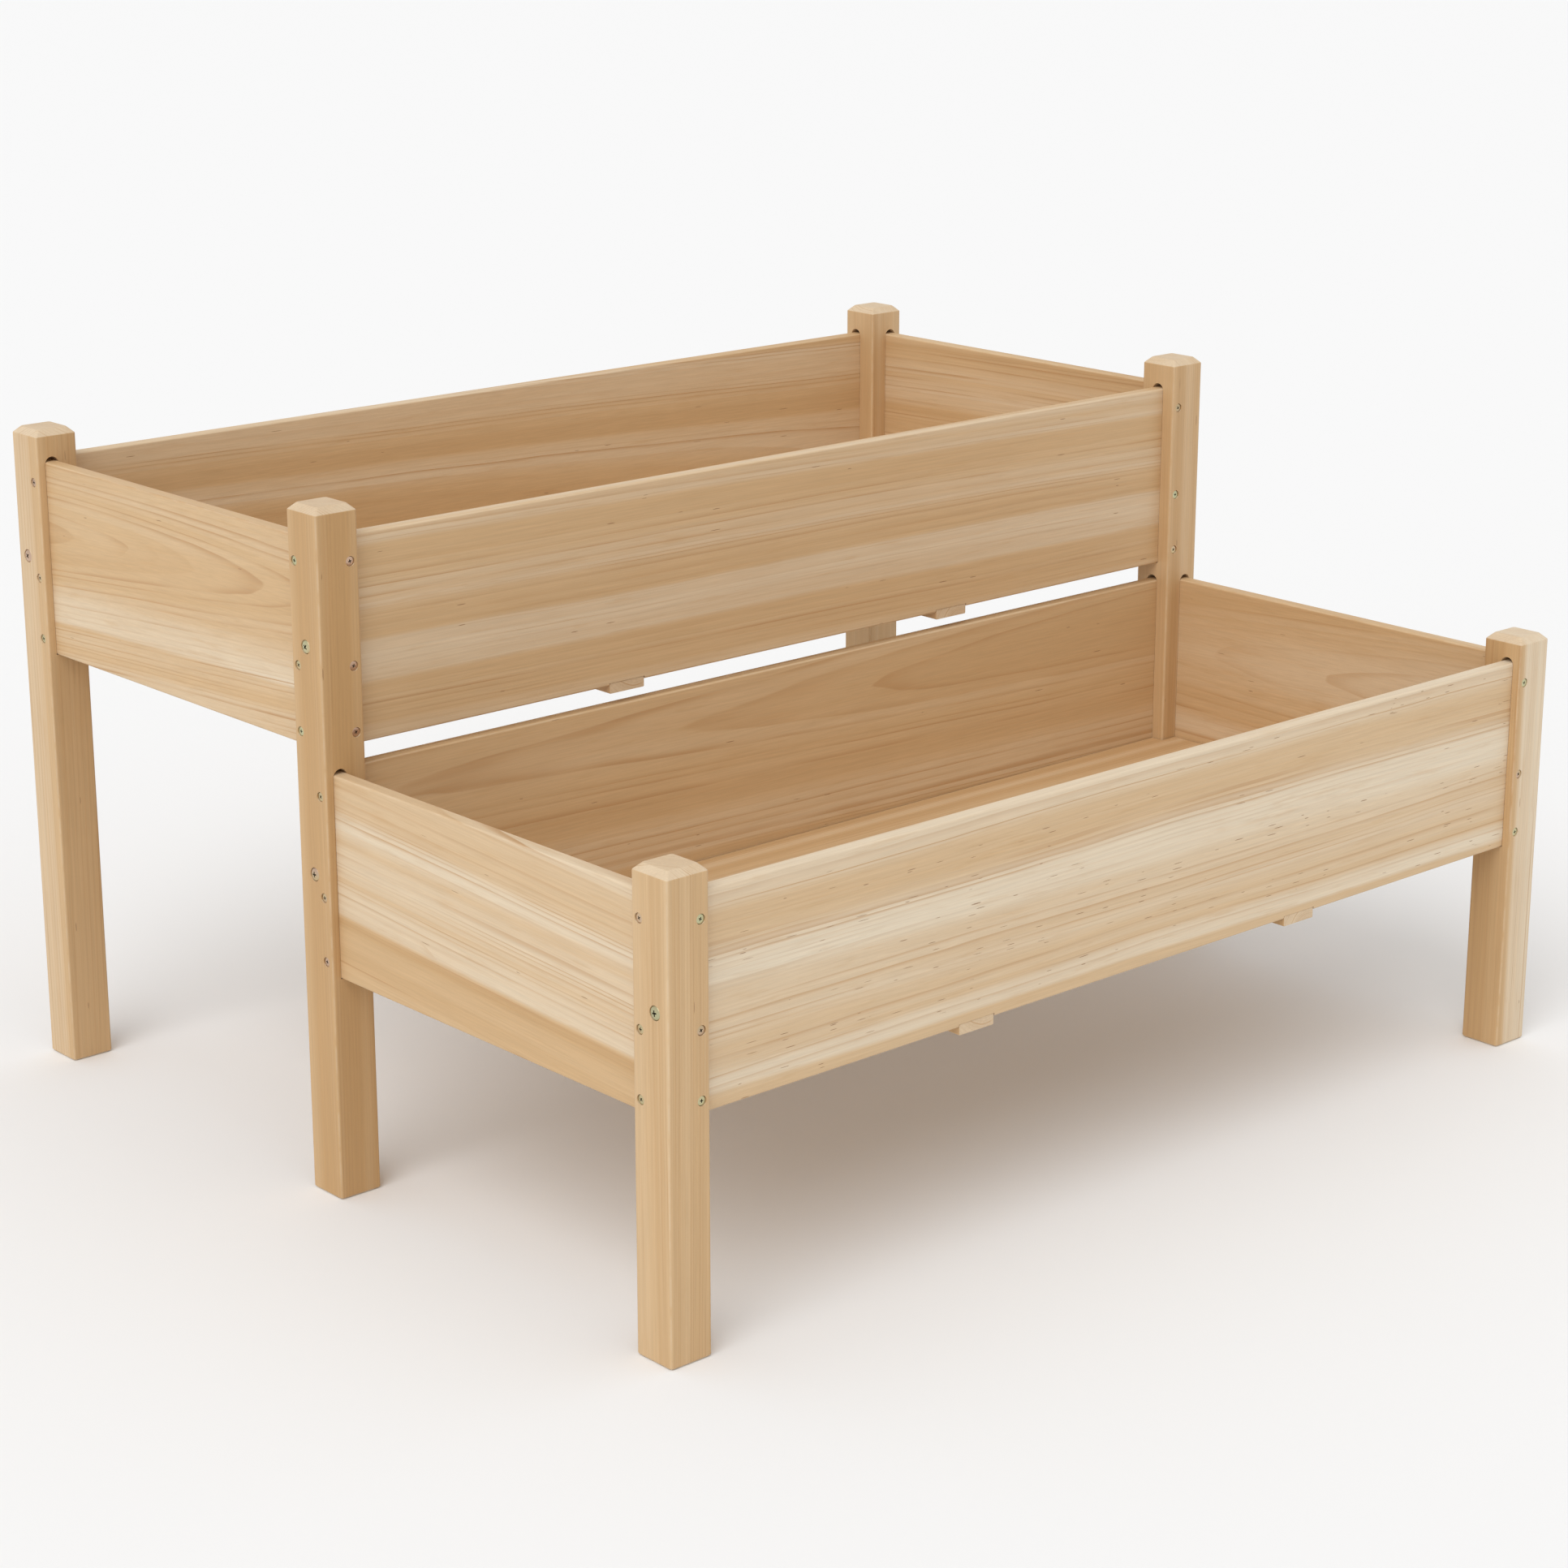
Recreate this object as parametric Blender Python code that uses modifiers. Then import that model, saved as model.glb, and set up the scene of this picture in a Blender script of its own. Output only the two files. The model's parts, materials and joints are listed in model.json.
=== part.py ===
"""Two-bed stair-step planter on square posts.

Six posts stand in three rows of two. The upper bed hangs between the back and middle rows, the
lower bed between the middle and front rows. Each bed is four wide panels let into blind grooves
in the posts, screwed through the posts' cheeks, with loose bottom boards on two battens.

Frame: +X to the right, +Y to the back, +Z up. Origin: floor level, middle of the footprint.
Lengths are in metres.
"""

import math

import bmesh
import bpy
from mathutils import Matrix, Vector

# Driving dimensions
LENGTH = 1.200           # over the posts' end faces, along X
ROW_PITCH = 0.490        # front face to front face of neighbouring rows of posts
POST = 0.0465            # side of a square post
TALL_POST = 0.676        # middle and back posts
SHORT_POST = 0.450       # front posts
PANEL_THICK = 0.015
PANEL_HIGH = 0.200
LOWER_BED = 0.2235       # underside of the lower bed's panels
UPPER_BED = 0.4435       # underside of the upper bed's panels
OUTER_RECESS = 0.0095    # how far a corner panel stands back from the posts' outer face

# Joinery
TOUCH = 0.0003           # gap left between two pieces that touch
GROOVE_DEEP = 0.018
GROOVE_END = 0.0005      # end play of a panel in its groove
GROOVE_OVER = 0.005      # groove runs on past the panel's top edge
BATTEN_WIDE = 0.044
BATTEN_THICK = 0.011
BATTEN_SPREAD = 0.451    # between the two battens' middles
BATTEN_LET_IN = 0.003    # depth of the notch in the panels' bottom edges
BATTEN_BACK = 0.0005     # batten's end stands back from the panel's face
NOTCH_PLAY = 0.002       # the notch is this much wider than the batten
BOARD_THICK = 0.011
BOARD_GAP = 0.004        # drainage gap between two bottom boards
BOARD_PLAY = 0.001       # clearance of a bottom board to panels and posts
BOARDS = 3               # bottom boards in a bed

# Edge shapes
POST_TOP_CHAMFER = 0.0065
POST_FOOT_CHAMFER = 0.002
POST_ARRIS = 0.0025
PANEL_ARRIS = 0.002
SLAT_ARRIS = 0.001
ARRIS_STEPS = 2          # facets across a rounded arris
GROOVE_STEPS = 5         # facets across each upper corner of a groove
GROOVE_ROUND = 0.499     # radius of those corners, as a share of the groove's width

# Fasteners
SCREW_HEAD_R = 0.0045
SCREW_SHANK_R = 0.002
SCREW_SUNK = 0.0005      # head's face below the wood's surface
SCREW_HOLD = 0.0125      # length of a screw beyond the cheek that it clamps
SCREW_INSET = 0.0095     # from the edge of the post next to the panel
SCREW_HEIGHTS = {"low": 0.0165, "mid": 0.080, "high": 0.179}   # above the panel's underside
BATTEN_SCREW_LONG = 0.028
BOLT_HEAD_R = 0.0065
BOLT_SHANK_R = 0.003
BOLT_SEAT = 0.0014       # depth of the head's seat in the post
BOLT_PROUD = 0.0007      # dome above the post's face
BOLT_SHOULDER = (0.55, 0.75)   # where the dome turns down: shares of its radius and height
BOLT_RIM = 0.4           # height of the head's edge, as a share of the head's whole height
BOLT_LONG = 0.070
SCREW_SIDES = 8
BOLT_SIDES = 12
HOLE_CLEAR = 0.0003
SHARP_ANGLE = math.radians(35)   # a turned piece's edges steeper than this stay sharp
PARALLEL = 0.999         # least share of an edge's run along an axis that it counts as parallel to
WELD = 0.00001           # distance within which a turned piece's points merge

# Worked out
HALF = LENGTH / 2
DEPTH = 2 * ROW_PITCH + POST
CENTRE_RECESS = (POST - PANEL_THICK) / 2
ROW_FRONT_FACE = {
    "front": -DEPTH / 2,
    "middle": -DEPTH / 2 + ROW_PITCH,
    "back": -DEPTH / 2 + 2 * ROW_PITCH,
}
ROW_HEIGHT = {"front": SHORT_POST, "middle": TALL_POST, "back": TALL_POST}
BED_BOTTOM = {"lower": LOWER_BED, "upper": UPPER_BED}
BED_ROWS = {"lower": ("front", "middle"), "upper": ("middle", "back")}
SIDES = {"left": -1, "right": 1}

WOOD_POST = ((0.62, 0.43, 0.26), 0.62, 0.0)
WOOD_PANEL = ((0.70, 0.52, 0.33), 0.60, 0.0)
WOOD_SLAT = ((0.58, 0.40, 0.25), 0.68, 0.0)
ZINC_SCREW = ((0.55, 0.38, 0.22), 0.35, 1.0)
ZINC_BOLT = ((0.62, 0.58, 0.42), 0.30, 1.0)


def clear_scene():
    """Empty the scene of objects."""
    for found in list(bpy.data.objects):
        bpy.data.objects.remove(found, do_unlink=True)


def new_collection(name):
    """A collection linked to the scene."""
    made = bpy.data.collections.new(name)
    bpy.context.scene.collection.children.link(made)
    return made


def finish_of(name, values):
    """A Principled material from (colour, roughness, metallic)."""
    colour, roughness, metallic = values
    material = bpy.data.materials.new(name)
    material.use_nodes = True
    shader = material.node_tree.nodes["Principled BSDF"]
    shader.inputs["Base Color"].default_value = (*colour, 1.0)
    shader.inputs["Roughness"].default_value = roughness
    shader.inputs["Metallic"].default_value = metallic
    return material


def add_object(name, mesh, collection, material=None):
    """An object on a mesh, in its collection and with its material."""
    made = bpy.data.objects.new(name, mesh)
    collection.objects.link(made)
    if material is not None:
        mesh.materials.clear()
        mesh.materials.append(material)
    return made


def block_mesh(name, low, high):
    """A box mesh between two corners, given as a bmesh for further shaping."""
    low, high = Vector(low), Vector(high)
    work = bmesh.new()
    bmesh.ops.create_cube(work, size=1.0)
    bmesh.ops.scale(work, vec=high - low, verts=work.verts)
    bmesh.ops.translate(work, vec=(low + high) / 2, verts=work.verts)
    work.normal_update()
    return work, bpy.data.meshes.new(name)


def finish_mesh(work, mesh):
    """Write a bmesh to its mesh and free it."""
    bmesh.ops.recalc_face_normals(work, faces=work.faces)
    work.to_mesh(mesh)
    work.free()
    return mesh


def edges_along(work, axis):
    """The edges that run along one axis (0, 1 or 2)."""
    found = []
    for edge in work.edges:
        run = (edge.verts[1].co - edge.verts[0].co).normalized()
        if abs(run[axis]) > PARALLEL:
            found.append(edge)
    return found


def round_edges(work, edges, radius, segments):
    """Round some edges of a bmesh."""
    bmesh.ops.bevel(
        work, geom=edges, offset=radius, offset_type="OFFSET", segments=segments,
        profile=0.5, affect="EDGES", clamp_overlap=False,
    )


def slice_off(work, point, normal):
    """Cut away what lies beyond a plane and close the cut."""
    geometry = work.verts[:] + work.edges[:] + work.faces[:]
    cut = bmesh.ops.bisect_plane(
        work, geom=geometry, plane_co=point, plane_no=normal, clear_outer=True, dist=1e-6
    )
    rim = [item for item in cut["geom_cut"] if isinstance(item, bmesh.types.BMEdge)]
    bmesh.ops.holes_fill(work, edges=rim)


def chamfer_end(work, low, high, at_top, size):
    """Plane a 45 degree chamfer round the top or the foot of a post."""
    level = high.z - size if at_top else low.z + size
    lift = 1 if at_top else -1
    for axis in (0, 1):
        for side, bound in ((-1, low), (1, high)):
            normal = Vector((0, 0, lift))
            normal[axis] = side
            point = (low + high) / 2
            point[axis] = bound[axis]
            point.z = level
            slice_off(work, point, normal.normalized())


def make_post(name, row, side, parts, material):
    """One square post, with a planed top, an eased foot and rounded arrises."""
    y0 = ROW_FRONT_FACE[row]
    x0 = -HALF if side < 0 else HALF - POST
    low, high = Vector((x0, y0, 0)), Vector((x0 + POST, y0 + POST, ROW_HEIGHT[row]))
    work, mesh = block_mesh(name, low, high)
    round_edges(work, edges_along(work, 2), POST_ARRIS, ARRIS_STEPS)
    chamfer_end(work, low, high, True, POST_TOP_CHAMFER)
    chamfer_end(work, low, high, False, POST_FOOT_CHAMFER)
    return add_object(name, finish_mesh(work, mesh), parts, material)


def make_slat(name, low, high, along, arris, parts, material):
    """A board with rounded long edges; along is the axis of its length."""
    work, mesh = block_mesh(name, low, high)
    round_edges(work, edges_along(work, along), arris, ARRIS_STEPS)
    return add_object(name, finish_mesh(work, mesh), parts, material)


def box_cutter(name, low, high, cutters):
    """A hidden box that cuts a notch."""
    work, mesh = block_mesh(name, low, high)
    return as_cutter(add_object(name, finish_mesh(work, mesh), cutters))


def as_cutter(item):
    """Mark an object as a cutter."""
    item.hide_render = True
    item.display_type = "WIRE"
    return item


def cut(body, cutter):
    """Subtract a cutter from a piece."""
    boolean = body.modifiers.new(cutter.name, "BOOLEAN")
    boolean.operation = "DIFFERENCE"
    boolean.solver = "EXACT"
    boolean.object = cutter


def turned_mesh(name, profile, sides):
    """A closed mesh turned about Z. The profile is (radius, height) pairs down its outer side."""
    outline = bpy.data.meshes.new(name)
    points = [(radius, 0, height) for radius, height in profile]
    outline.from_pydata(points, [(i, i + 1) for i in range(len(points) - 1)], [])
    blank = bpy.data.objects.new(name, outline)
    bpy.context.scene.collection.objects.link(blank)
    spin = blank.modifiers.new("turn", "SCREW")
    spin.axis = "Z"
    spin.angle = math.tau
    spin.steps = spin.render_steps = sides
    spin.use_merge_vertices = True
    spin.merge_threshold = WELD
    mesh = bpy.data.meshes.new_from_object(
        blank.evaluated_get(bpy.context.evaluated_depsgraph_get())
    )
    bpy.data.objects.remove(blank)
    mesh.shade_smooth()
    mesh.set_sharp_from_angle(angle=SHARP_ANGLE)
    return mesh


def stand_on_face(name, mesh, place, outward, collection, material=None):
    """An object on a turned mesh, with its +Z turned to the outward direction."""
    made = add_object(name, mesh, collection, material)
    turn = Vector(outward).to_track_quat("Z", "Y").to_matrix().to_4x4()
    made.matrix_world = Matrix.Translation(place) @ turn
    return made


def screw_profile(length):
    """Countersunk wood screw; height 0 is the wood's surface."""
    top = -SCREW_SUNK
    neck = top - (SCREW_HEAD_R - SCREW_SHANK_R)
    point = 2 * SCREW_SHANK_R
    return [
        (0, top), (SCREW_HEAD_R, top), (SCREW_SHANK_R, neck),
        (SCREW_SHANK_R, point - length), (0, -length),
    ]


def screw_hole_profile(length):
    """Countersink and pilot hole that clear the screw on every side."""
    rim = SCREW_HEAD_R + HOLE_CLEAR
    wall = SCREW_SHANK_R + HOLE_CLEAR
    below_head = -SCREW_SUNK - HOLE_CLEAR
    neck = below_head - (rim - wall)
    return [
        (0, HOLE_CLEAR), (rim, HOLE_CLEAR), (rim, below_head), (wall, neck),
        (wall, -length - HOLE_CLEAR), (0, -length - HOLE_CLEAR),
    ]


def bolt_profile():
    """Low domed head on a thick shank; height 0 is the post's face."""
    seat = -BOLT_SEAT
    rim = seat + BOLT_RIM * (BOLT_SEAT + BOLT_PROUD)
    wide, high = BOLT_SHOULDER
    return [
        (0, BOLT_PROUD), (wide * BOLT_HEAD_R, high * BOLT_PROUD), (BOLT_HEAD_R, rim),
        (BOLT_HEAD_R, seat), (BOLT_SHANK_R, seat), (BOLT_SHANK_R, 2 * BOLT_SHANK_R - BOLT_LONG),
        (0, -BOLT_LONG),
    ]


def bolt_hole_profile():
    """Seat for the domed head and the hole for its shank."""
    rim = BOLT_HEAD_R + HOLE_CLEAR
    wall = BOLT_SHANK_R + HOLE_CLEAR
    seat = -BOLT_SEAT - HOLE_CLEAR
    foot = -BOLT_LONG - HOLE_CLEAR
    return [(0, HOLE_CLEAR), (rim, HOLE_CLEAR), (rim, seat), (wall, seat), (wall, foot), (0, foot)]


def panel_faces(bed, which):
    """Y of the front and back faces of a bed's long panel."""
    front_row, back_row = BED_ROWS[bed]
    row = front_row if which == "front" else back_row
    y0 = ROW_FRONT_FACE[row]
    if row == "middle":
        start = y0 + CENTRE_RECESS
    elif row == "front":
        start = y0 + OUTER_RECESS
    else:
        start = y0 + POST - OUTER_RECESS - PANEL_THICK
    return start, start + PANEL_THICK


def groove_cutter(name, low, high, across, cutters):
    """A blind groove with a round upper end; across is the axis of its width."""
    work, mesh = block_mesh(name, low, high)
    into = 1 - across
    top = [e for e in edges_along(work, into) if e.verts[0].co.z > (low[2] + high[2]) / 2]
    round_edges(work, top, (high[across] - low[across]) * GROOVE_ROUND, GROOVE_STEPS)
    return as_cutter(add_object(name, finish_mesh(work, mesh), cutters))


def make_long_panel(bed, which, parts, cutters, posts, material):
    """Front or back panel of a bed, with its grooves in the two posts that hold it."""
    name = f"panel_{bed}_{which}"
    near, far = panel_faces(bed, which)
    base = BED_BOTTOM[bed]
    reach = HALF - POST + GROOVE_DEEP - GROOVE_END
    low, high = (-reach, near, base), (reach, far, base + PANEL_HIGH)
    panel = make_slat(name, low, high, 0, PANEL_ARRIS, parts, material)
    row = BED_ROWS[bed][0 if which == "front" else 1]
    for side, sign in SIDES.items():
        inner = sign * (HALF - POST)
        blind = inner + sign * GROOVE_DEEP
        mouth = inner - sign * TOUCH
        low = (min(blind, mouth), near - TOUCH, base - TOUCH)
        high = (max(blind, mouth), far + TOUCH, base + PANEL_HIGH + GROOVE_OVER)
        cut(posts[row, side], groove_cutter(f"groove_{name}_{side}", low, high, 1, cutters))
    return panel


def make_side_panel(bed, side, parts, cutters, posts, material):
    """Left or right panel of a bed, with its grooves in the two posts that hold it."""
    name = f"panel_{bed}_{side}"
    sign = SIDES[side]
    outer = sign * (HALF - OUTER_RECESS)
    inner = outer - sign * PANEL_THICK
    left, right = min(outer, inner), max(outer, inner)
    base = BED_BOTTOM[bed]
    front_row, back_row = BED_ROWS[bed]
    start = ROW_FRONT_FACE[front_row] + POST
    stop = ROW_FRONT_FACE[back_row]
    reach = GROOVE_DEEP - GROOVE_END
    low, high = (left, start - reach, base), (right, stop + reach, base + PANEL_HIGH)
    panel = make_slat(name, low, high, 1, PANEL_ARRIS, parts, material)
    for row, face, into in ((front_row, start, -1), (back_row, stop, 1)):
        blind, mouth = face + into * GROOVE_DEEP, face - into * TOUCH
        low = (left - TOUCH, min(blind, mouth), base - TOUCH)
        high = (right + TOUCH, max(blind, mouth), base + PANEL_HIGH + GROOVE_OVER)
        cut(posts[row, side], groove_cutter(f"groove_{name}_{row}", low, high, 0, cutters))
    return panel


def drive_screw(name, place, outward, length, bodies, parts, cutters, material):
    """A wood screw and its hole through the pieces it joins. Without a material: the hole only."""
    mesh = turned_mesh(f"hole_{name}", screw_hole_profile(length), SCREW_SIDES)
    hole = as_cutter(stand_on_face(f"hole_{name}", mesh, place, outward, cutters))
    for body in bodies:
        cut(body, hole)
    if material is not None:
        mesh = turned_mesh(name, screw_profile(length), SCREW_SIDES)
        stand_on_face(name, mesh, place, outward, parts, material)


def drive_bolt(name, place, outward, bodies, parts, cutters, material):
    """A domed bolt and its hole through the post into the panel's end grain."""
    mesh = turned_mesh(f"hole_{name}", bolt_hole_profile(), BOLT_SIDES)
    hole = as_cutter(stand_on_face(f"hole_{name}", mesh, place, outward, cutters))
    for body in bodies:
        cut(body, hole)
    mesh = turned_mesh(name, bolt_profile(), BOLT_SIDES)
    stand_on_face(name, mesh, place, outward, parts, material)


def fasten_side_panel(bed, side, panel, parts, cutters, posts, material):
    """Three screws through the end face of each post into the side panel's ends."""
    sign = SIDES[side]
    front_row, back_row = BED_ROWS[bed]
    spots = (
        ("front", front_row, ROW_FRONT_FACE[front_row] + POST - SCREW_INSET),
        ("back", back_row, ROW_FRONT_FACE[back_row] + SCREW_INSET),
    )
    for where, row, y in spots:
        for level, height in SCREW_HEIGHTS.items():
            place = Vector((sign * HALF, y, BED_BOTTOM[bed] + height))
            drive_screw(
                f"screw_{bed}_{side}_{where}_{level}", place, (sign, 0, 0),
                OUTER_RECESS + SCREW_HOLD, (posts[row, side], panel), parts, cutters, material,
            )


def long_panel_cheek(bed, which):
    """The face that a long panel is screwed from: (row, y of the face, outward sign, cheek)."""
    row = BED_ROWS[bed][0 if which == "front" else 1]
    y0 = ROW_FRONT_FACE[row]
    cheek = CENTRE_RECESS if row == "middle" else OUTER_RECESS
    if which == "front":
        return row, y0, -1, cheek
    return row, y0 + POST, 1, cheek


def fasten_long_panel(bed, which, panel, parts, cutters, posts, bolt_finish):
    """Screw holes through the posts' cheeks and one bolt into each end of the panel."""
    row, face, out, cheek = long_panel_cheek(bed, which)
    base = BED_BOTTOM[bed]
    middle = sum(panel_faces(bed, which)) / 2
    for side, sign in SIDES.items():
        x = sign * (HALF - POST + SCREW_INSET)
        for level, height in SCREW_HEIGHTS.items():
            drive_screw(
                f"cheek_{bed}_{which}_{side}_{level}", Vector((x, face, base + height)),
                (0, out, 0), cheek + SCREW_HOLD, (posts[row, side], panel), parts, cutters, None,
            )
        place = Vector((sign * HALF, middle, base + PANEL_HIGH / 2))
        drive_bolt(
            f"bolt_{bed}_{which}_{side}", place, (sign, 0, 0), (posts[row, side], panel),
            parts, cutters, bolt_finish,
        )


def make_battens(bed, panels, parts, cutters, material):
    """Two battens let into the long panels' bottom edges, each held by a screw at each end."""
    base = BED_BOTTOM[bed]
    front_near, front_far = panel_faces(bed, "front")
    back_near, back_far = panel_faces(bed, "back")
    under = base + BATTEN_LET_IN - BATTEN_THICK
    for side, sign in SIDES.items():
        x = sign * BATTEN_SPREAD / 2
        name = f"batten_{bed}_{side}"
        low = (x - BATTEN_WIDE / 2, front_near + BATTEN_BACK, under)
        high = (x + BATTEN_WIDE / 2, back_far - BATTEN_BACK, base + BATTEN_LET_IN - TOUCH)
        batten = make_slat(name, low, high, 1, SLAT_ARRIS, parts, material)
        half_notch = (BATTEN_WIDE + NOTCH_PLAY) / 2
        for which, near, far in (
            ("front", front_near, front_far), ("back", back_near, back_far),
        ):
            low = (x - half_notch, near - TOUCH, under)
            high = (x + half_notch, far + TOUCH, base + BATTEN_LET_IN)
            cut(panels[which], box_cutter(f"notch_{name}_{which}", low, high, cutters))
            place = Vector((x, (near + far) / 2, under))
            drive_screw(
                f"under_{name}_{which}", place, (0, 0, -1), BATTEN_SCREW_LONG,
                (batten, panels[which]), parts, cutters, None,
            )


def make_bottom_boards(bed, parts, cutters, material):
    """Loose bottom boards that rest on the battens, notched round the posts."""
    front_near, front_far = panel_faces(bed, "front")
    back_near, back_far = panel_faces(bed, "back")
    start, stop = front_far + BOARD_PLAY, back_near - BOARD_PLAY
    wide = (stop - start - (BOARDS - 1) * BOARD_GAP) / BOARDS
    half_long = HALF - OUTER_RECESS - PANEL_THICK - BOARD_PLAY
    under = BED_BOTTOM[bed] + BATTEN_LET_IN
    front_row, back_row = BED_ROWS[bed]
    post_faces = (ROW_FRONT_FACE[front_row] + POST, ROW_FRONT_FACE[back_row])
    for number in range(BOARDS):
        name = f"floor_board_{bed}_{number + 1}"
        y = start + number * (wide + BOARD_GAP)
        low, high = (-half_long, y, under), (half_long, y + wide, under + BOARD_THICK)
        board = make_slat(name, low, high, 0, SLAT_ARRIS, parts, material)
        if number == 0:
            notch = (y - POST, post_faces[0] + BOARD_PLAY)
        elif number == BOARDS - 1:
            notch = (post_faces[1] - BOARD_PLAY, y + wide + POST)
        else:
            continue
        for side, sign in SIDES.items():
            inner, outer = sign * (HALF - POST - BOARD_PLAY), sign * HALF
            low = (min(inner, outer), notch[0], under - BOARD_THICK)
            high = (max(inner, outer), notch[1], under + 2 * BOARD_THICK)
            cut(board, box_cutter(f"corner_{name}_{side}", low, high, cutters))


def build_bed(bed, posts, parts, cutters, finishes):
    """All the pieces of one bed."""
    long_panels = {}
    for which in ("front", "back"):
        panel = make_long_panel(bed, which, parts, cutters, posts, finishes["panel"])
        fasten_long_panel(bed, which, panel, parts, cutters, posts, finishes["bolt"])
        long_panels[which] = panel
    for side in SIDES:
        panel = make_side_panel(bed, side, parts, cutters, posts, finishes["panel"])
        fasten_side_panel(bed, side, panel, parts, cutters, posts, finishes["screw"])
    make_battens(bed, long_panels, parts, cutters, finishes["slat"])
    make_bottom_boards(bed, parts, cutters, finishes["slat"])


def main():
    """Build the whole planter."""
    clear_scene()
    parts = new_collection("raised_planter")
    cutters = new_collection("cutters")
    finishes = {
        "post": finish_of("fir_post", WOOD_POST),
        "panel": finish_of("fir_panel", WOOD_PANEL),
        "slat": finish_of("fir_slat", WOOD_SLAT),
        "screw": finish_of("zinc_screw", ZINC_SCREW),
        "bolt": finish_of("zinc_bolt", ZINC_BOLT),
    }
    posts = {}
    for row in ROW_FRONT_FACE:
        for side, sign in SIDES.items():
            posts[row, side] = make_post(f"post_{row}_{side}", row, sign, parts, finishes["post"])
    for bed in BED_ROWS:
        build_bed(bed, posts, parts, cutters, finishes)


main()
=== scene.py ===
"""Two-bed stair-step planter in planed fir: the finished surfaces round the fixed frame.

Posts, panels, battens and bottom boards are shaped again with eased arrises, grooves, notches and
countersinks, and cut from their own logs, so that the figure of each board is its own. Wood screws
and domed bolts have cross recesses and thread ridges. Lengths are in metres, +X right, +Y back, +Z up.
"""

import json
import logging
import math
from collections.abc import Callable, Iterator
from contextlib import contextmanager
from dataclasses import dataclass, field
from enum import Enum

import bmesh
import bpy
from mathutils import Matrix, Vector

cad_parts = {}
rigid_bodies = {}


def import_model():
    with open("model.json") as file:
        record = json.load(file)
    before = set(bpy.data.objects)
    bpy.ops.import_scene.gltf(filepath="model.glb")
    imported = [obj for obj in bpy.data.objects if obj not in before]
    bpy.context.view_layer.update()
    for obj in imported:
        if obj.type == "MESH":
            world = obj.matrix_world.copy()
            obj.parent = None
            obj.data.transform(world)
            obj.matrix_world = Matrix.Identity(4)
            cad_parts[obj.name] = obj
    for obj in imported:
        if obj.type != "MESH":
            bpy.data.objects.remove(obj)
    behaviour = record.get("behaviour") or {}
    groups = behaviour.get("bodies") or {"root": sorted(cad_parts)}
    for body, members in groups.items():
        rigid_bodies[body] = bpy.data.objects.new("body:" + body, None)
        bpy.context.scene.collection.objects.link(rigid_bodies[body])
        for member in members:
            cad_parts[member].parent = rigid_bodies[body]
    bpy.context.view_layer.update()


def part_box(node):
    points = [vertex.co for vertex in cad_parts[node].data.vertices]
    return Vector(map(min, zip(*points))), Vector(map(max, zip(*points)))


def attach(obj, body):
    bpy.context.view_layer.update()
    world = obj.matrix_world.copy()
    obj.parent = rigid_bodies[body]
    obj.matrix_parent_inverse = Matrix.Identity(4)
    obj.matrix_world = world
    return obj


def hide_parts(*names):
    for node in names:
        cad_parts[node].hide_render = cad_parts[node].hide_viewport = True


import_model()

LOG = logging.getLogger("planter")
BODY = "root"

TOUCH = 0.0003              # gap between two wooden pieces that meet
NEAR = 0.00001              # heights this close are the same
SMOOTH_ANGLE = math.radians(38)

Colour = tuple[float, float, float]
Point = tuple[float, float, float]
Piece = bpy.types.Object
Node = bpy.types.Node
Socket = bpy.types.NodeSocket

# Fir, from the sapwood's cream to the knots' brown
SAPWOOD: Colour = (0.740, 0.630, 0.475)
MATURE: Colour = (0.618, 0.424, 0.232)
HEARTWOOD: Colour = (0.500, 0.300, 0.130)
MATURE_SHARE = 0.40
LATEWOOD: Colour = (0.470, 0.265, 0.115)
FLUSHED: Colour = (0.540, 0.330, 0.150)
FLECK: Colour = (0.250, 0.125, 0.055)
END_GRAIN: Colour = (0.690, 0.560, 0.400)

# Passivated zinc, as it flashes from gold to green and rose; the green is partly a painted reflection
# of green foliage
ZINC_GOLD: Colour = (0.660, 0.520, 0.300)
ZINC_GREEN_AND_FOLIAGE_REFLECTION: Colour = (0.560, 0.580, 0.360)
ZINC_ROSE: Colour = (0.640, 0.440, 0.350)
# Near-black that darkens the zinc: handling smudges on the plate, and painted shade in the cross
# recess, with some grime
SMUDGE_AND_RECESS_SHADE: Colour = (0.060, 0.050, 0.035)


class Element(Enum):
    """What an edit-mode selection picks; the value is its name in a mesh."""

    EDGE = "edges"
    FACE = "faces"


class Side(Enum):
    """Left or right end of the planter, and its sign along X."""

    LEFT = ("left", -1)
    RIGHT = ("right", 1)

    @property
    def word(self) -> str:
        """The side's name."""
        return self.value[0]

    @property
    def sign(self) -> int:
        """-1 on the left, 1 on the right."""
        return self.value[1]


class Grain(Enum):
    """The way that a board's fibres run; the value is the rows that turn the object to its log."""

    ALONG_X = ((1, 0, 0), (0, 0, 1), (0, -1, 0))
    ALONG_Y = ((0, 1, 0), (0, 0, 1), (1, 0, 0))
    ALONG_Z = ((0, 0, 1), (1, 0, 0), (0, 1, 0))

    @property
    def turn(self) -> Matrix:
        """Rotation from object axes to the log's: along the fibres, across, through."""
        return Matrix(self.value)

    @property
    def axis(self) -> Vector:
        """The fibres' direction in the object."""
        return Vector(self.value[0])


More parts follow.
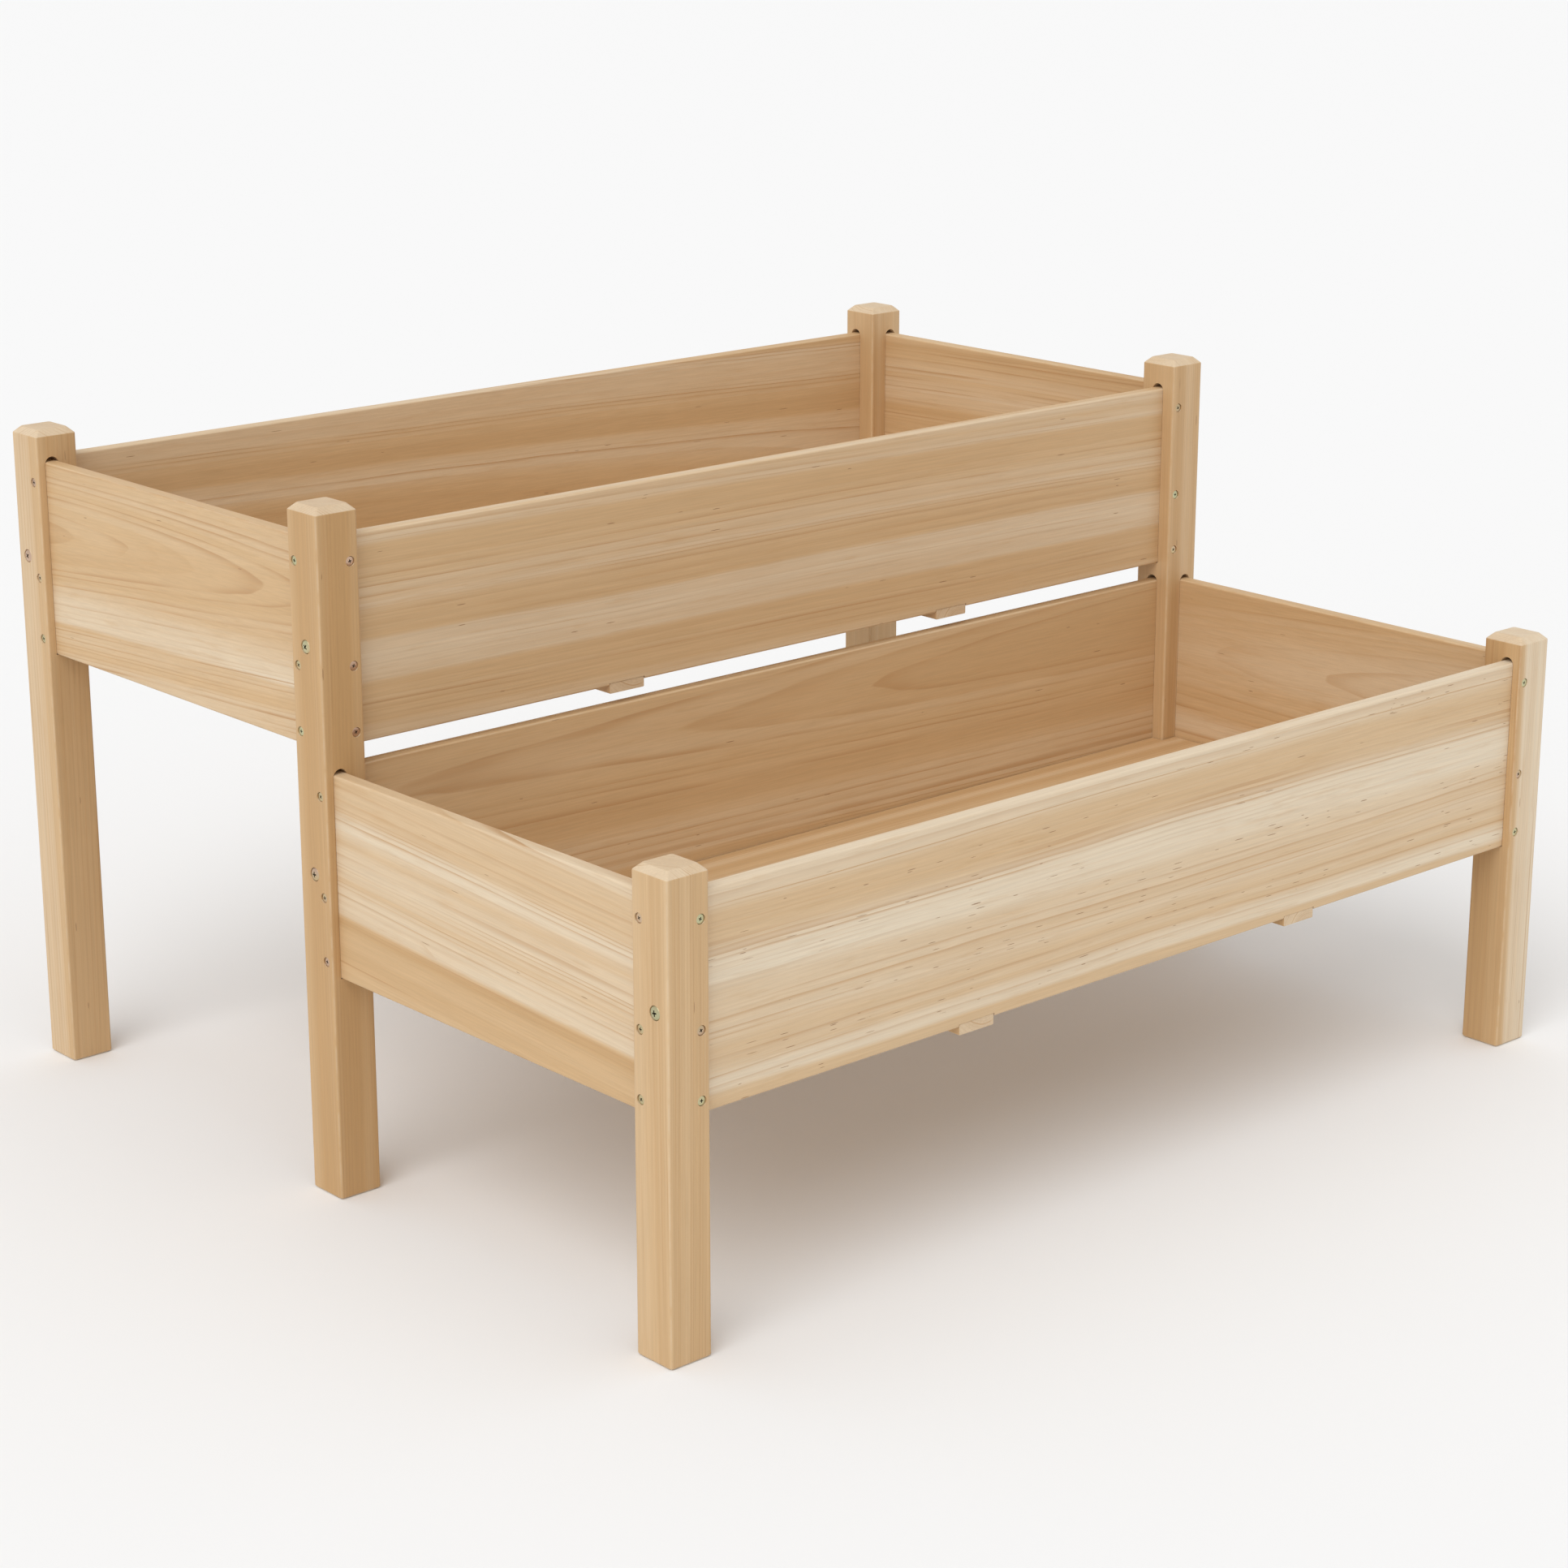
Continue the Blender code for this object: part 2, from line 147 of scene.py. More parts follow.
class Bench:
    """Modelling steps on one piece at a time, as by hand."""

    @staticmethod
    def clear() -> None:
        """Deselect everything."""
        for shown in bpy.context.view_layer.objects:
            shown.select_set(False)

    @staticmethod
    def only(piece: Piece) -> None:
        """Select one piece and make it the active one."""
        Bench.clear()
        piece.select_set(True)
        bpy.context.view_layer.objects.active = piece

    @staticmethod
    def block(name: str, low: Vector, high: Vector) -> Piece:
        """A cube primitive drawn between two corners.

        Args:
            name: The piece's name.
            low: Lowest corner.
            high: Highest corner.

        Returns:
            The block, with its place and size in its mesh.
        """
        low, high = Vector(low), Vector(high)
        Bench.clear()
        bpy.ops.mesh.primitive_cube_add(size=1.0, location=(low + high) / 2, scale=high - low)
        return Bench.named(name)

    @staticmethod
    def drum(name: str, radius: float, low: float, high: float, sides: int) -> Piece:
        """A cylinder primitive on the Z axis.

        Args:
            name: The piece's name.
            radius: Its radius.
            low: Height of its lower face.
            high: Height of its upper face.
            sides: Number of sides.

        Returns:
            The cylinder, with its place in its mesh.
        """
        Bench.clear()
        bpy.ops.mesh.primitive_cylinder_add(
            vertices=sides, radius=radius, depth=high - low, location=(0, 0, (low + high) / 2)
        )
        return Bench.named(name)

    @staticmethod
    def named(name: str) -> Piece:
        """Name the primitive just added and put its place into its mesh."""
        piece = bpy.context.object
        piece.name = name
        piece.data.name = name
        bpy.ops.object.transform_apply(location=True, rotation=True, scale=True)
        return piece

    @staticmethod
    @contextmanager
    def editing(piece: Piece) -> Iterator[None]:
        """Edit mode on one piece, with nothing picked at the start."""
        Bench.only(piece)
        bpy.ops.object.mode_set(mode="EDIT")
        bpy.ops.mesh.select_mode(type="VERT")
        bpy.ops.mesh.select_all(action="DESELECT")
        yield
        bpy.ops.object.mode_set(mode="OBJECT")

    @staticmethod
    def pick(piece: Piece, element: Element, test: Callable) -> None:
        """Select, in edit mode, the elements that pass a test.

        Args:
            piece: The piece in edit mode.
            element: Edges or faces.
            test: Says whether an element is picked.
        """
        bpy.ops.mesh.select_mode(type=element.name)
        bpy.ops.mesh.select_all(action="DESELECT")
        work = bmesh.from_edit_mesh(piece.data)
        work.normal_update()
        for item in getattr(work, element.value):
            if test(item):
                item.select_set(True)
        work.select_flush_mode()
        bmesh.update_edit_mesh(piece.data)

    @staticmethod
    def draw_out(steps: list[tuple[float, float]], radius: float, height: float) -> None:
        """Extrude the picked round face along Z through a row of sections.

        Args:
            steps: (radius, height) of each section.
            radius: The picked face's radius.
            height: The picked face's height.
        """
        for wide, level in steps:
            move = {"value": (0, 0, level - height)}
            bpy.ops.mesh.extrude_region_move(TRANSFORM_OT_translate=move)
            ratio = wide / radius
            bpy.ops.transform.resize(value=(ratio, ratio, 1), center_override=(0, 0, level))
            radius, height = wide, level

    @staticmethod
    def apply(piece: Piece, kind: str, **settings: object) -> None:
        """Add one modifier and apply it.

        Args:
            piece: The piece that takes it.
            kind: The modifier's type.
            **settings: Its properties.
        """
        Bench.only(piece)
        modifier = piece.modifiers.new(kind.lower(), kind)
        for key, value in settings.items():
            setattr(modifier, key, value)
        bpy.ops.object.modifier_apply(modifier=modifier.name)

    @staticmethod
    def carve(cutter: Piece, *pieces: Piece) -> None:
        """Cut one or more pieces with a cutter, and scrap the cutter."""
        for piece in pieces:
            Bench.apply(
                piece, "BOOLEAN", operation="DIFFERENCE", solver="EXACT", object=cutter,
                material_mode="INDEX",
            )
        Bench.scrap(cutter)

    @staticmethod
    def scrap(piece: Piece) -> None:
        """Remove a piece and its mesh."""
        mesh = piece.data
        bpy.data.objects.remove(piece)
        bpy.data.meshes.remove(mesh)

    @staticmethod
    def copy(piece: Piece, name: str, place: Matrix) -> Piece:
        """A copy with its own mesh, put in its place.

        Args:
            piece: The piece that is copied.
            name: The copy's name.
            place: Where the copy goes.

        Returns:
            The copy, with its place in its mesh.
        """
        made = piece.copy()
        made.data = piece.data.copy()
        made.name = made.data.name = name
        bpy.context.scene.collection.objects.link(made)
        made.data.transform(place)
        return made

    @staticmethod
    def smooth(piece: Piece) -> None:
        """Shade rounded edges smooth and keep flat faces flat."""
        Bench.only(piece)
        bpy.ops.object.shade_smooth_by_angle(angle=SMOOTH_ANGLE)
        Bench.apply(piece, "WEIGHTED_NORMAL", mode="FACE_AREA", weight=80, keep_sharp=True)


def runs_along(edge: bmesh.types.BMEdge, axis: int) -> bool:
    """Whether an edge runs along one axis (0, 1 or 2)."""
    run = edge.verts[1].co - edge.verts[0].co
    return abs(run.normalized()[axis]) > 0.999


def bent_between(edge: bmesh.types.BMEdge, least: float, most: float) -> bool:
    """Whether the faces at an edge meet at an angle in a range, in degrees."""
    return edge.is_manifold and least < math.degrees(edge.calc_face_angle(0)) < most


# ---------------------------------------------------------------------------- shader nodes


class Sheet:
    """A node tree that is being filled."""

    STEP = 190

    def __init__(self, tree: bpy.types.NodeTree) -> None:
        """Start on an empty tree."""
        self.tree = tree
        self.count = 0

    def add(self, kind: str, feeds: dict | None = None, **settings: object) -> Node:
        """Add a node.

        Args:
            kind: The node's type.
            feeds: What its inputs take, by their names or numbers.
            **settings: Its properties.

        Returns:
            The node.
        """
        node = self.tree.nodes.new(kind)
        node.location = (self.STEP * (self.count % 12), -self.STEP * (self.count // 12))
        self.count += 1
        for key, value in settings.items():
            setattr(node, key, value)
        for key, value in (feeds or {}).items():
            self.feed(node.inputs[key], value)
        return node

    def feed(self, socket: Socket, value: object) -> None:
        """Link a socket to another, or set its value."""
        if isinstance(value, Socket):
            self.tree.links.new(value, socket)
        elif socket.type == "RGBA" and len(value) == 3:
            socket.default_value = (*value, 1.0)
        else:
            socket.default_value = value

    def math(self, operation: str, *values: object, clamp: bool = False) -> Socket:
        """A Math node on one to three values."""
        feeds = dict(enumerate(values))
        return self.add("ShaderNodeMath", feeds, operation=operation, use_clamp=clamp).outputs[0]

    def times(self, first: object, *others: object) -> Socket:
        """The product of two or more values."""
        for other in others:
            first = self.math("MULTIPLY", first, other)
        return first

    def times_plus(self, first: object, second: object, third: object) -> Socket:
        """Two values' product, plus a third value."""
        return self.math("MULTIPLY_ADD", first, second, third)

    def rest(self, value: object) -> Socket:
        """What a value leaves of 1."""
        return self.math("SUBTRACT", 1.0, value)

    def reach(self, first: Socket, second: Socket) -> Socket:
        """How far a place with two coordinates lies from zero."""
        return self.math("SQRT", self.times_plus(first, first, self.times(second, second)))

    def vector(self, operation: str, *values: object) -> Socket:
        """A Vector Math node; its vector result."""
        feeds = dict(enumerate(values))
        return self.add("ShaderNodeVectorMath", feeds, operation=operation).outputs["Vector"]

    def scaled(self, vector: Socket, factor: object) -> Socket:
        """A vector times a number."""
        feeds = {"Vector": vector, "Scale": factor}
        return self.add("ShaderNodeVectorMath", feeds, operation="SCALE").outputs["Vector"]

    def parts(self, vector: Socket) -> tuple[Socket, ...]:
        """A vector's three numbers."""
        return tuple(self.add("ShaderNodeSeparateXYZ", {0: vector}).outputs)

    def step(self, value: object, low: float, high: float) -> Socket:
        """A soft step from 0 at low to 1 at high."""
        feeds = {"Value": value, "From Min": low, "From Max": high}
        node = self.add("ShaderNodeMapRange", feeds, interpolation_type="SMOOTHSTEP")
        return node.outputs["Result"]

    def spread(self, value: object, low: float, high: float) -> Socket:
        """A value from 0 to 1 spread over another range."""
        feeds = {"Value": value, "To Min": low, "To Max": high}
        return self.add("ShaderNodeMapRange", feeds).outputs["Result"]

    def noise(
        self, vector: Socket, stretch: Point, detail: float = 0.0, roughness: float = 0.5,
        output: str = "Fac",
    ) -> Socket:
        """A 3D noise on a stretched vector.

        Args:
            vector: Where the noise is read.
            stretch: Cells per metre along each axis.
            detail: Number of finer layers.
            roughness: Strength of the finer layers.
            output: Fac for one number, Color for three.

        Returns:
            The noise's output.
        """
        feeds = {
            "Vector": self.vector("MULTIPLY", vector, stretch), "Scale": 1.0,
            "Detail": detail, "Roughness": roughness,
        }
        return self.add("ShaderNodeTexNoise", feeds).outputs[output]

    def noise_line(self, value: Socket, detail: float) -> Socket:
        """A noise along one number."""
        feeds = {"W": value, "Scale": 1.0, "Detail": detail}
        return self.add("ShaderNodeTexNoise", feeds, noise_dimensions="1D").outputs["Fac"]

    def mix(self, factor: object, first: object, second: object, blend: str = "MIX") -> Socket:
        """A colour between two others."""
        feeds = {"Factor": factor, 6: first, 7: second}
        return self.add("ShaderNodeMix", feeds, data_type="RGBA", blend_type=blend).outputs[2]

    def grey(self, value: Socket) -> Socket:
        """A grey colour from one value."""
        return self.add("ShaderNodeCombineColor", dict.fromkeys(range(3), value)).outputs[0]

    def bump(self, height: Socket, strength: float, distance: float) -> Socket:
        """The normal of a surface with fine relief."""
        feeds = {"Height": height, "Strength": strength, "Distance": distance}
        return self.add("ShaderNodeBump", feeds).outputs["Normal"]

    def ramp(self, value: object, rows: tuple) -> Socket:
        """A colour ramp through (place, colour or grey) rows."""
        node = self.add("ShaderNodeValToRGB", {"Fac": value})
        stops = node.color_ramp.elements
        while len(stops) < len(rows):
            stops.new(0.5)
        for stop, (spot, shade) in zip(stops, rows):
            stop.position = spot
            stop.color = (*shade, 1.0) if isinstance(shade, tuple) else (shade, shade, shade, 1.0)
        return node.outputs["Color"]

    def place(self, name: str, **values: object) -> Node:
        """Place a shader node group with its own values.

        Args:
            name: The group's name.
            **values: Its inputs, with underscores for spaces.

        Returns:
            The group node.
        """
        feeds = {key.replace("_", " ").title(): value for key, value in values.items()}
        return self.add("ShaderNodeGroup", feeds, node_tree=bpy.data.node_groups[name])


FLOAT = "NodeSocketFloat"
VECTOR = "NodeSocketVector"
HALF_VECTOR: Point = (0.5, 0.5, 0.5)


@dataclass(frozen=True)
class Effect:
    """A shader node group that several finishes share.

    fill takes the sheet and the group's inputs, and gives back its outputs, in order.
    """

    name: str
    inputs: dict[str, str]
    outputs: dict[str, str]
    fill: Callable[..., tuple]

    def build(self) -> None:
        """Make the group with its sockets and fill it."""
        tree = bpy.data.node_groups.new(self.name, "ShaderNodeTree")
        for in_out, rows in (("INPUT", self.inputs), ("OUTPUT", self.outputs)):
            for label, kind in rows.items():
                tree.interface.new_socket(name=label, in_out=in_out, socket_type=kind)
        sheet = Sheet(tree)
        entry = sheet.add("NodeGroupInput")
        leave = sheet.add("NodeGroupOutput")
        made = self.fill(sheet, *entry.outputs[: len(self.inputs)])
        for value, socket in zip(made, leave.inputs):
            sheet.feed(socket, value)


def fill_rings(sheet: Sheet, point: Socket, width: Socket, wave: Socket, seed: Socket) -> tuple:
    """Year rings about the pith: pale earlywood that darkens into a thin latewood line."""
    slow = sheet.noise(point, (1.5, 10, 10), detail=1.0, output="Color")
    quick = sheet.noise(point, (8, 70, 70), detail=1.0, output="Color")
    drift = sheet.scaled(sheet.vector("SUBTRACT", slow, HALF_VECTOR), wave)
    shiver = sheet.scaled(sheet.vector("SUBTRACT", quick, HALF_VECTOR), sheet.times(wave, 0.16))
    moved = sheet.vector("ADD", point, sheet.vector("ADD", drift, shiver))
    _, across, through = sheet.parts(moved)
    radius = sheet.reach(across, through)
    uneven = sheet.noise_line(sheet.times_plus(radius, 34.0, seed), detail=2.0)
    phase = sheet.times_plus(uneven, 4.0, sheet.math("DIVIDE", radius, width))
    ring = sheet.math("FLOOR", phase)
    share = sheet.math("SUBTRACT", phase, ring)
    feeds = {"W": sheet.math("ADD", ring, seed)}
    draw = sheet.add("ShaderNodeTexWhiteNoise", feeds, noise_dimensions="1D")
    chance = draw.outputs["Value"]
    strong = sheet.spread(sheet.math("POWER", chance, 1.6), 0.12, 1.0)
    rise = sheet.math("POWER", sheet.step(share, 0.30, 0.97), 2.6)
    drop = sheet.rest(sheet.step(share, 0.955, 1.0))
    fading = sheet.noise(moved, (4.5, 60, 60), detail=1.5)
    lasting = sheet.spread(sheet.step(fading, 0.34, 0.60), 0.25, 1.0)
    late = sheet.times(rise, drop, strong, lasting)
    broad = sheet.noise_line(sheet.times_plus(phase, 0.14, sheet.times(seed, 3.1)), detail=1.5)
    band = sheet.times_plus(chance, 0.22, sheet.times(sheet.step(broad, 0.36, 0.64), 0.78))
    return late, band, moved


def fill_fibre(sheet: Sheet, point: Socket) -> tuple:
    """Fine fibre streaks, broad soft ones, smudged grain, and pores for the relief."""
    streak = sheet.noise(point, (9, 560, 560), detail=4.0, roughness=0.72)
    soft = sheet.noise(point, (1.6, 60, 60), detail=2.0)
    smudge = sheet.noise(point, (15, 150, 150), detail=3.0, roughness=0.6)
    pore = sheet.noise(point, (60, 1900, 1900))
    return streak, soft, sheet.step(smudge, 0.54, 0.74), pore


def scattered(sheet: Sheet, point: Socket, cells: Point) -> tuple[Socket, Socket, tuple]:
    """Scatter marks over the wood, one to a cell.

    Args:
        sheet: The group's nodes.
        point: Place in the log.
        cells: Cells per metre along the fibres, across and through.

    Returns:
        Distance along and across from the nearest mark, and its three random numbers.
    """
    feeds = {"Vector": sheet.vector("MULTIPLY", point, cells), "Scale": 1.0, "Randomness": 1.0}
    cell = sheet.add("ShaderNodeTexVoronoi", feeds, feature="F1")
    back = tuple(1 / number for number in cells)
    centre = sheet.vector("MULTIPLY", cell.outputs["Position"], back)
    along, across, _ = sheet.parts(sheet.vector("SUBTRACT", point, centre))
    draws = sheet.add("ShaderNodeSeparateColor", {0: cell.outputs["Color"]}).outputs
    return along, across, tuple(draws)


def fill_flecks(sheet: Sheet, point: Socket, amount: Socket) -> tuple:
    """Short dark resin dashes along the fibres, gathered in some stretches."""
    along, across, draws = scattered(sheet, point, (22, 210, 14))
    end = sheet.math("DIVIDE", along, sheet.spread(draws[1], 0.0020, 0.0075))
    edge = sheet.math("DIVIDE", across, sheet.spread(draws[2], 0.00020, 0.00042))
    square = sheet.times_plus(end, end, sheet.times(edge, edge))
    dash = sheet.rest(sheet.step(square, 0.45, 1.2))
    gathered = sheet.step(sheet.noise(point, (4, 60, 60), detail=1.0), 0.46, 0.68)
    present = sheet.math("LESS_THAN", draws[0], sheet.times(gathered, amount))
    return (sheet.times(dash, present),)


def fill_knots(sheet: Sheet, point: Socket, size: Socket, chance: Socket) -> tuple:
    """Sparse pin knots: a brown eye, a halo round it, and the fibres' bend."""
    along, across, draws = scattered(sheet, point, (3.6, 11.0, 2.0))
    near = sheet.math("DIVIDE", sheet.reach(sheet.times(along, 0.55), across), size)
    present = sheet.math("LESS_THAN", draws[0], chance)
    eye = sheet.rest(sheet.step(near, 0.55, 1.15))
    halo = sheet.rest(sheet.step(near, 0.4, 4.5))
    sideways = sheet.times(halo, halo, across, present, -0.8)
    push = sheet.add("ShaderNodeCombineXYZ", {"Y": sideways})
    return sheet.times(eye, present), sheet.times(halo, present), push.outputs[0]


def fill_end_grain(sheet: Sheet, fibres: Socket) -> tuple:
    """1 where a face is cut across the fibres, 0 along them."""
    feeds = {0: sheet.add("ShaderNodeTexCoord").outputs["Normal"], 1: fibres}
    facing = sheet.add("ShaderNodeVectorMath", feeds, operation="DOT_PRODUCT")
    return (sheet.step(sheet.math("ABSOLUTE", facing.outputs["Value"]), 0.35, 0.70),)


def fill_arris(sheet: Sheet, amount: Socket) -> tuple:
    """1 on eased edges, 0 on the flat faces of a square piece, broken up by noise: a painted highlight
    where rounded arrises catch light.
    """
    coordinates = sheet.add("ShaderNodeTexCoord")
    x, y, z = sheet.parts(sheet.vector("ABSOLUTE", coordinates.outputs["Normal"]))
    steepest = sheet.math("MAXIMUM", sheet.math("MAXIMUM", x, y), z)
    eased = sheet.rest(sheet.step(steepest, 0.80, 0.985))
    patchy_highlight = sheet.noise(coordinates.outputs["Object"], (45, 45, 45), detail=2.0)
    return (sheet.times(eased, sheet.step(patchy_highlight, 0.30, 0.60), amount),)


def fill_handling(sheet: Sheet, amount: Socket) -> tuple:
    """Soft smudges left by hands and stacking."""
    place = sheet.add("ShaderNodeTexCoord").outputs["Object"]
    cloud = sheet.noise(place, (9, 9, 9), detail=3.0, roughness=0.55)
    speck = sheet.noise(place, (160, 160, 160), detail=1.0)
    rubbed = sheet.times(sheet.step(cloud, 0.42, 0.68), sheet.spread(speck, 0.6, 1.2))
    return (sheet.math("MULTIPLY", rubbed, amount, clamp=True),)


MASK = {"Mask": FLOAT}
EFFECTS = (
    Effect(
        "year_rings", {"Point": VECTOR, "Ring Width": FLOAT, "Wave": FLOAT, "Seed": FLOAT},
        {"Late": FLOAT, "Band": FLOAT, "Moved": VECTOR}, fill_rings,
    ),
    Effect(
        "fibre", {"Point": VECTOR},
        {"Streak": FLOAT, "Soft": FLOAT, "Smudge": FLOAT, "Pore": FLOAT}, fill_fibre,
    ),
    Effect("flecks", {"Point": VECTOR, "Amount": FLOAT}, MASK, fill_flecks),
    Effect(
        "pin_knots", {"Point": VECTOR, "Size": FLOAT, "Chance": FLOAT},
        {"Eye": FLOAT, "Halo": FLOAT, "Bend": VECTOR}, fill_knots,
    ),
    Effect("end_grain", {"Fibres": VECTOR}, MASK, fill_end_grain),
    # Painted highlight on eased arrises, where rounded edges catch light
    Effect("arris_wear", {"Amount": FLOAT}, MASK, fill_arris),
    Effect("handling", {"Amount": FLOAT}, MASK, fill_handling),
)


# -------------------------------------------------------------------------------- finishes


def blank_material(name: str) -> tuple[bpy.types.Material, Sheet, Node]:
    """A new material, the sheet of its nodes, and its Principled shader."""
    material = bpy.data.materials.new(name)
    material.use_nodes = True
    return material, Sheet(material.node_tree), material.node_tree.nodes["Principled BSDF"]


@dataclass(frozen=True)
class Fir:
    """Planed fir, cut from its own place in a log.

    The log's pith lies at an offset from the board's middle, across its face and through it, and
    is tilted to it, so that the rings run out as long flames. bands are (share of the board's
    width, paleness) pairs; without them the paleness follows the rings, about pale.
    """

    name: str
    grain: Grain
    low: Point
    high: Point
    pith: tuple[float, float] = (0.02, 0.11)
    tilt: tuple[float, float] = (0.0, 0.0)
    ring_width: float = 0.0042
    wave: float = 0.010
    seed: float = 0.0
    bands: tuple[tuple[float, float], ...] = ()
    pale: float = 0.45
    contrast: float = 0.45
    line: float = 0.85
    end_line: float = 0.95
    flecks: float = 0.06
    knots: float = 0.04
    knot_size: float = 0.0028
    # Strength of the painted highlight on eased arrises
    wear: float = 0.22
    handled: float = 0.6
    relief: float = 0.00022

    def log_place(self) -> tuple[Vector, Vector]:
        """Location and rotation of the Mapping node that turns the board to its log."""
        middle = (Vector(self.low) + Vector(self.high)) / 2
        swing = Matrix.Rotation(self.tilt[0], 3, "Z") @ Matrix.Rotation(self.tilt[1], 3, "Y")
        turn = swing @ self.grain.turn
        start = Vector((self.seed, *self.pith)) * Vector((1, -1, -1))
        return start - turn @ middle, Vector(turn.to_euler("XYZ"))

    def paleness(self, sheet: Sheet, rings: Node) -> Socket:
        """How near the wood is to cream sapwood.

        Args:
            sheet: The material's nodes.
            rings: The placed year-ring group.

        Returns:
            A value from 0 to 1.
        """
        middle = self.pale
        if self.bands:
            width = abs((self.grain.turn @ (Vector(self.high) - Vector(self.low))).y)
            _, across, _ = sheet.parts(rings.outputs["Moved"])
            inward = sheet.math("ADD", across, self.pith[0] + width / 2)
            middle = sheet.ramp(sheet.math("DIVIDE", inward, width), self.bands)
        swing = sheet.math("SUBTRACT", rings.outputs["Band"], 0.5)
        return sheet.math("MULTIPLY_ADD", swing, self.contrast, middle, clamp=True)

    def clean_wood(self, sheet: Sheet, rings: Node, fibre: Node) -> Socket:
        """The wood's colour before flecks, knots and wear.

        Args:
            sheet: The material's nodes.
            rings: The placed year-ring group.
            fibre: The placed fibre group.

        Returns:
            A colour.
        """
        ends = sheet.place("end_grain", fibres=self.grain.axis).outputs["Mask"]
        streak = fibre.outputs["Streak"]
        stops = ((0.0, HEARTWOOD), (MATURE_SHARE, MATURE), (1.0, SAPWOOD))
        tone = sheet.ramp(self.paleness(sheet, rings), stops)
        flush = sheet.spread(sheet.step(fibre.outputs["Soft"], 0.40, 0.72), 0.0, 0.20)
        flush = sheet.times_plus(fibre.outputs["Smudge"], 0.22, flush)
        tone = sheet.mix(flush, tone, FLUSHED)
        tone = sheet.mix(ends, tone, sheet.mix(0.60, tone, END_GRAIN))
        strength = sheet.times_plus(ends, self.end_line - self.line, self.line)
        drawn = sheet.times(rings.outputs["Late"], strength, sheet.spread(streak, 0.45, 1.55))
        tone = sheet.mix(drawn, tone, LATEWOOD)
        return sheet.mix(1.0, tone, sheet.grey(sheet.spread(streak, 0.82, 1.18)), "MULTIPLY")

    def build(self) -> bpy.types.Material:
        """Make the material."""
        material, sheet, shader = blank_material(self.name)
        place, turn = self.log_place()
        board = sheet.add("ShaderNodeTexCoord").outputs["Object"]
        feeds = {"Vector": board, "Location": place, "Rotation": turn}
        point = sheet.add("ShaderNodeMapping", feeds, vector_type="POINT").outputs["Vector"]
        knots = sheet.place("pin_knots", point=point, size=self.knot_size, chance=self.knots)
        bent = sheet.vector("ADD", point, knots.outputs["Bend"])
        rings = sheet.place(
            "year_rings", point=bent, ring_width=self.ring_width, wave=self.wave, seed=self.seed
        )
        moved, late = rings.outputs["Moved"], rings.outputs["Late"]
        fibre = sheet.place("fibre", point=moved)
        streak, pore = fibre.outputs["Streak"], fibre.outputs["Pore"]
        edges = sheet.place("end_grain", fibres=Vector(self.grain.value[1]))
        on_face = sheet.rest(edges.outputs["Mask"])
        flecks = sheet.place("flecks", point=moved, amount=self.flecks)
        dashes = sheet.times(flecks.outputs["Mask"], on_face)
        # Painted highlight on eased arrises, where rounded edges catch light
        patchy_highlight = sheet.place("arris_wear", amount=self.wear).outputs["Mask"]
        handled = sheet.place("handling", amount=self.handled).outputs["Mask"]

        tone = self.clean_wood(sheet, rings, fibre)
        for mask, share, shade in (
            (dashes, 0.85, FLECK),
            (sheet.times(knots.outputs["Halo"], on_face), 0.30, LATEWOOD),
            (sheet.times(knots.outputs["Eye"], on_face), 0.80, FLECK),
            # Paler eased arrises: a painted highlight in sapwood cream
            (patchy_highlight, 1.0, SAPWOOD),
            (handled, 0.10, FLUSHED),
        ):
            tone = sheet.mix(sheet.times(mask, share), tone, shade)
        sheet.feed(shader.inputs["Base Color"], tone)

        rough = sheet.times_plus(late, -0.10, sheet.spread(streak, 0.50, 0.68))
        sheet.feed(shader.inputs["Roughness"], sheet.times_plus(handled, -0.08, rough))
        shader.inputs["Specular IOR Level"].default_value = 0.38

        height = sheet.times_plus(streak, 0.7, sheet.times(pore, 0.3))
        height = sheet.times_plus(dashes, -0.6, sheet.times_plus(late, 0.5, height))
        sheet.feed(shader.inputs["Normal"], sheet.bump(height, 0.55, self.relief))
        return material


@dataclass(frozen=True)
class Zinc:
    """Yellow-passivated zinc plate; its tint wanders from one fastener to the next, and its green is
    partly a painted reflection of foliage.
    """

    name: str
    roughness: float = 0.30
    darkness: float = 0.0
    handled: float = 0.8
    relief: float = 0.00004

    def build(self) -> bpy.types.Material:
        """Make the material."""
        material, sheet, shader = blank_material(self.name)
        place = sheet.add("ShaderNodeTexCoord").outputs["Object"]
        drift = sheet.noise(place, (17, 17, 17), detail=1.0)
        film = sheet.noise(place, (420, 420, 420), detail=1.0)
        tint = sheet.mix(sheet.step(drift, 0.38, 0.52), ZINC_ROSE, ZINC_GOLD)
        tint = sheet.mix(sheet.step(drift, 0.50, 0.62), tint, ZINC_GREEN_AND_FOLIAGE_REFLECTION)
        tint = sheet.mix(sheet.spread(film, 0.0, 0.5), tint, ZINC_GOLD)
        handled = sheet.place("handling", amount=self.handled).outputs["Mask"]
        # Handling smudges darken the plate; on the recess material the extra darkening is painted
        # shade in the cross recess, with some grime
        smudge_and_shade = sheet.times_plus(handled, 0.25, self.darkness)
        sheet.feed(shader.inputs["Base Color"], sheet.mix(smudge_and_shade, tint, SMUDGE_AND_RECESS_SHADE))
        shader.inputs["Metallic"].default_value = 1.0
        sheet.feed(shader.inputs["Roughness"], sheet.times_plus(film, 0.14, self.roughness))
        sheet.feed(shader.inputs["Normal"], sheet.bump(film, 0.25, self.relief))
        return material


# -------------------------------------------------------------------------------- timbers


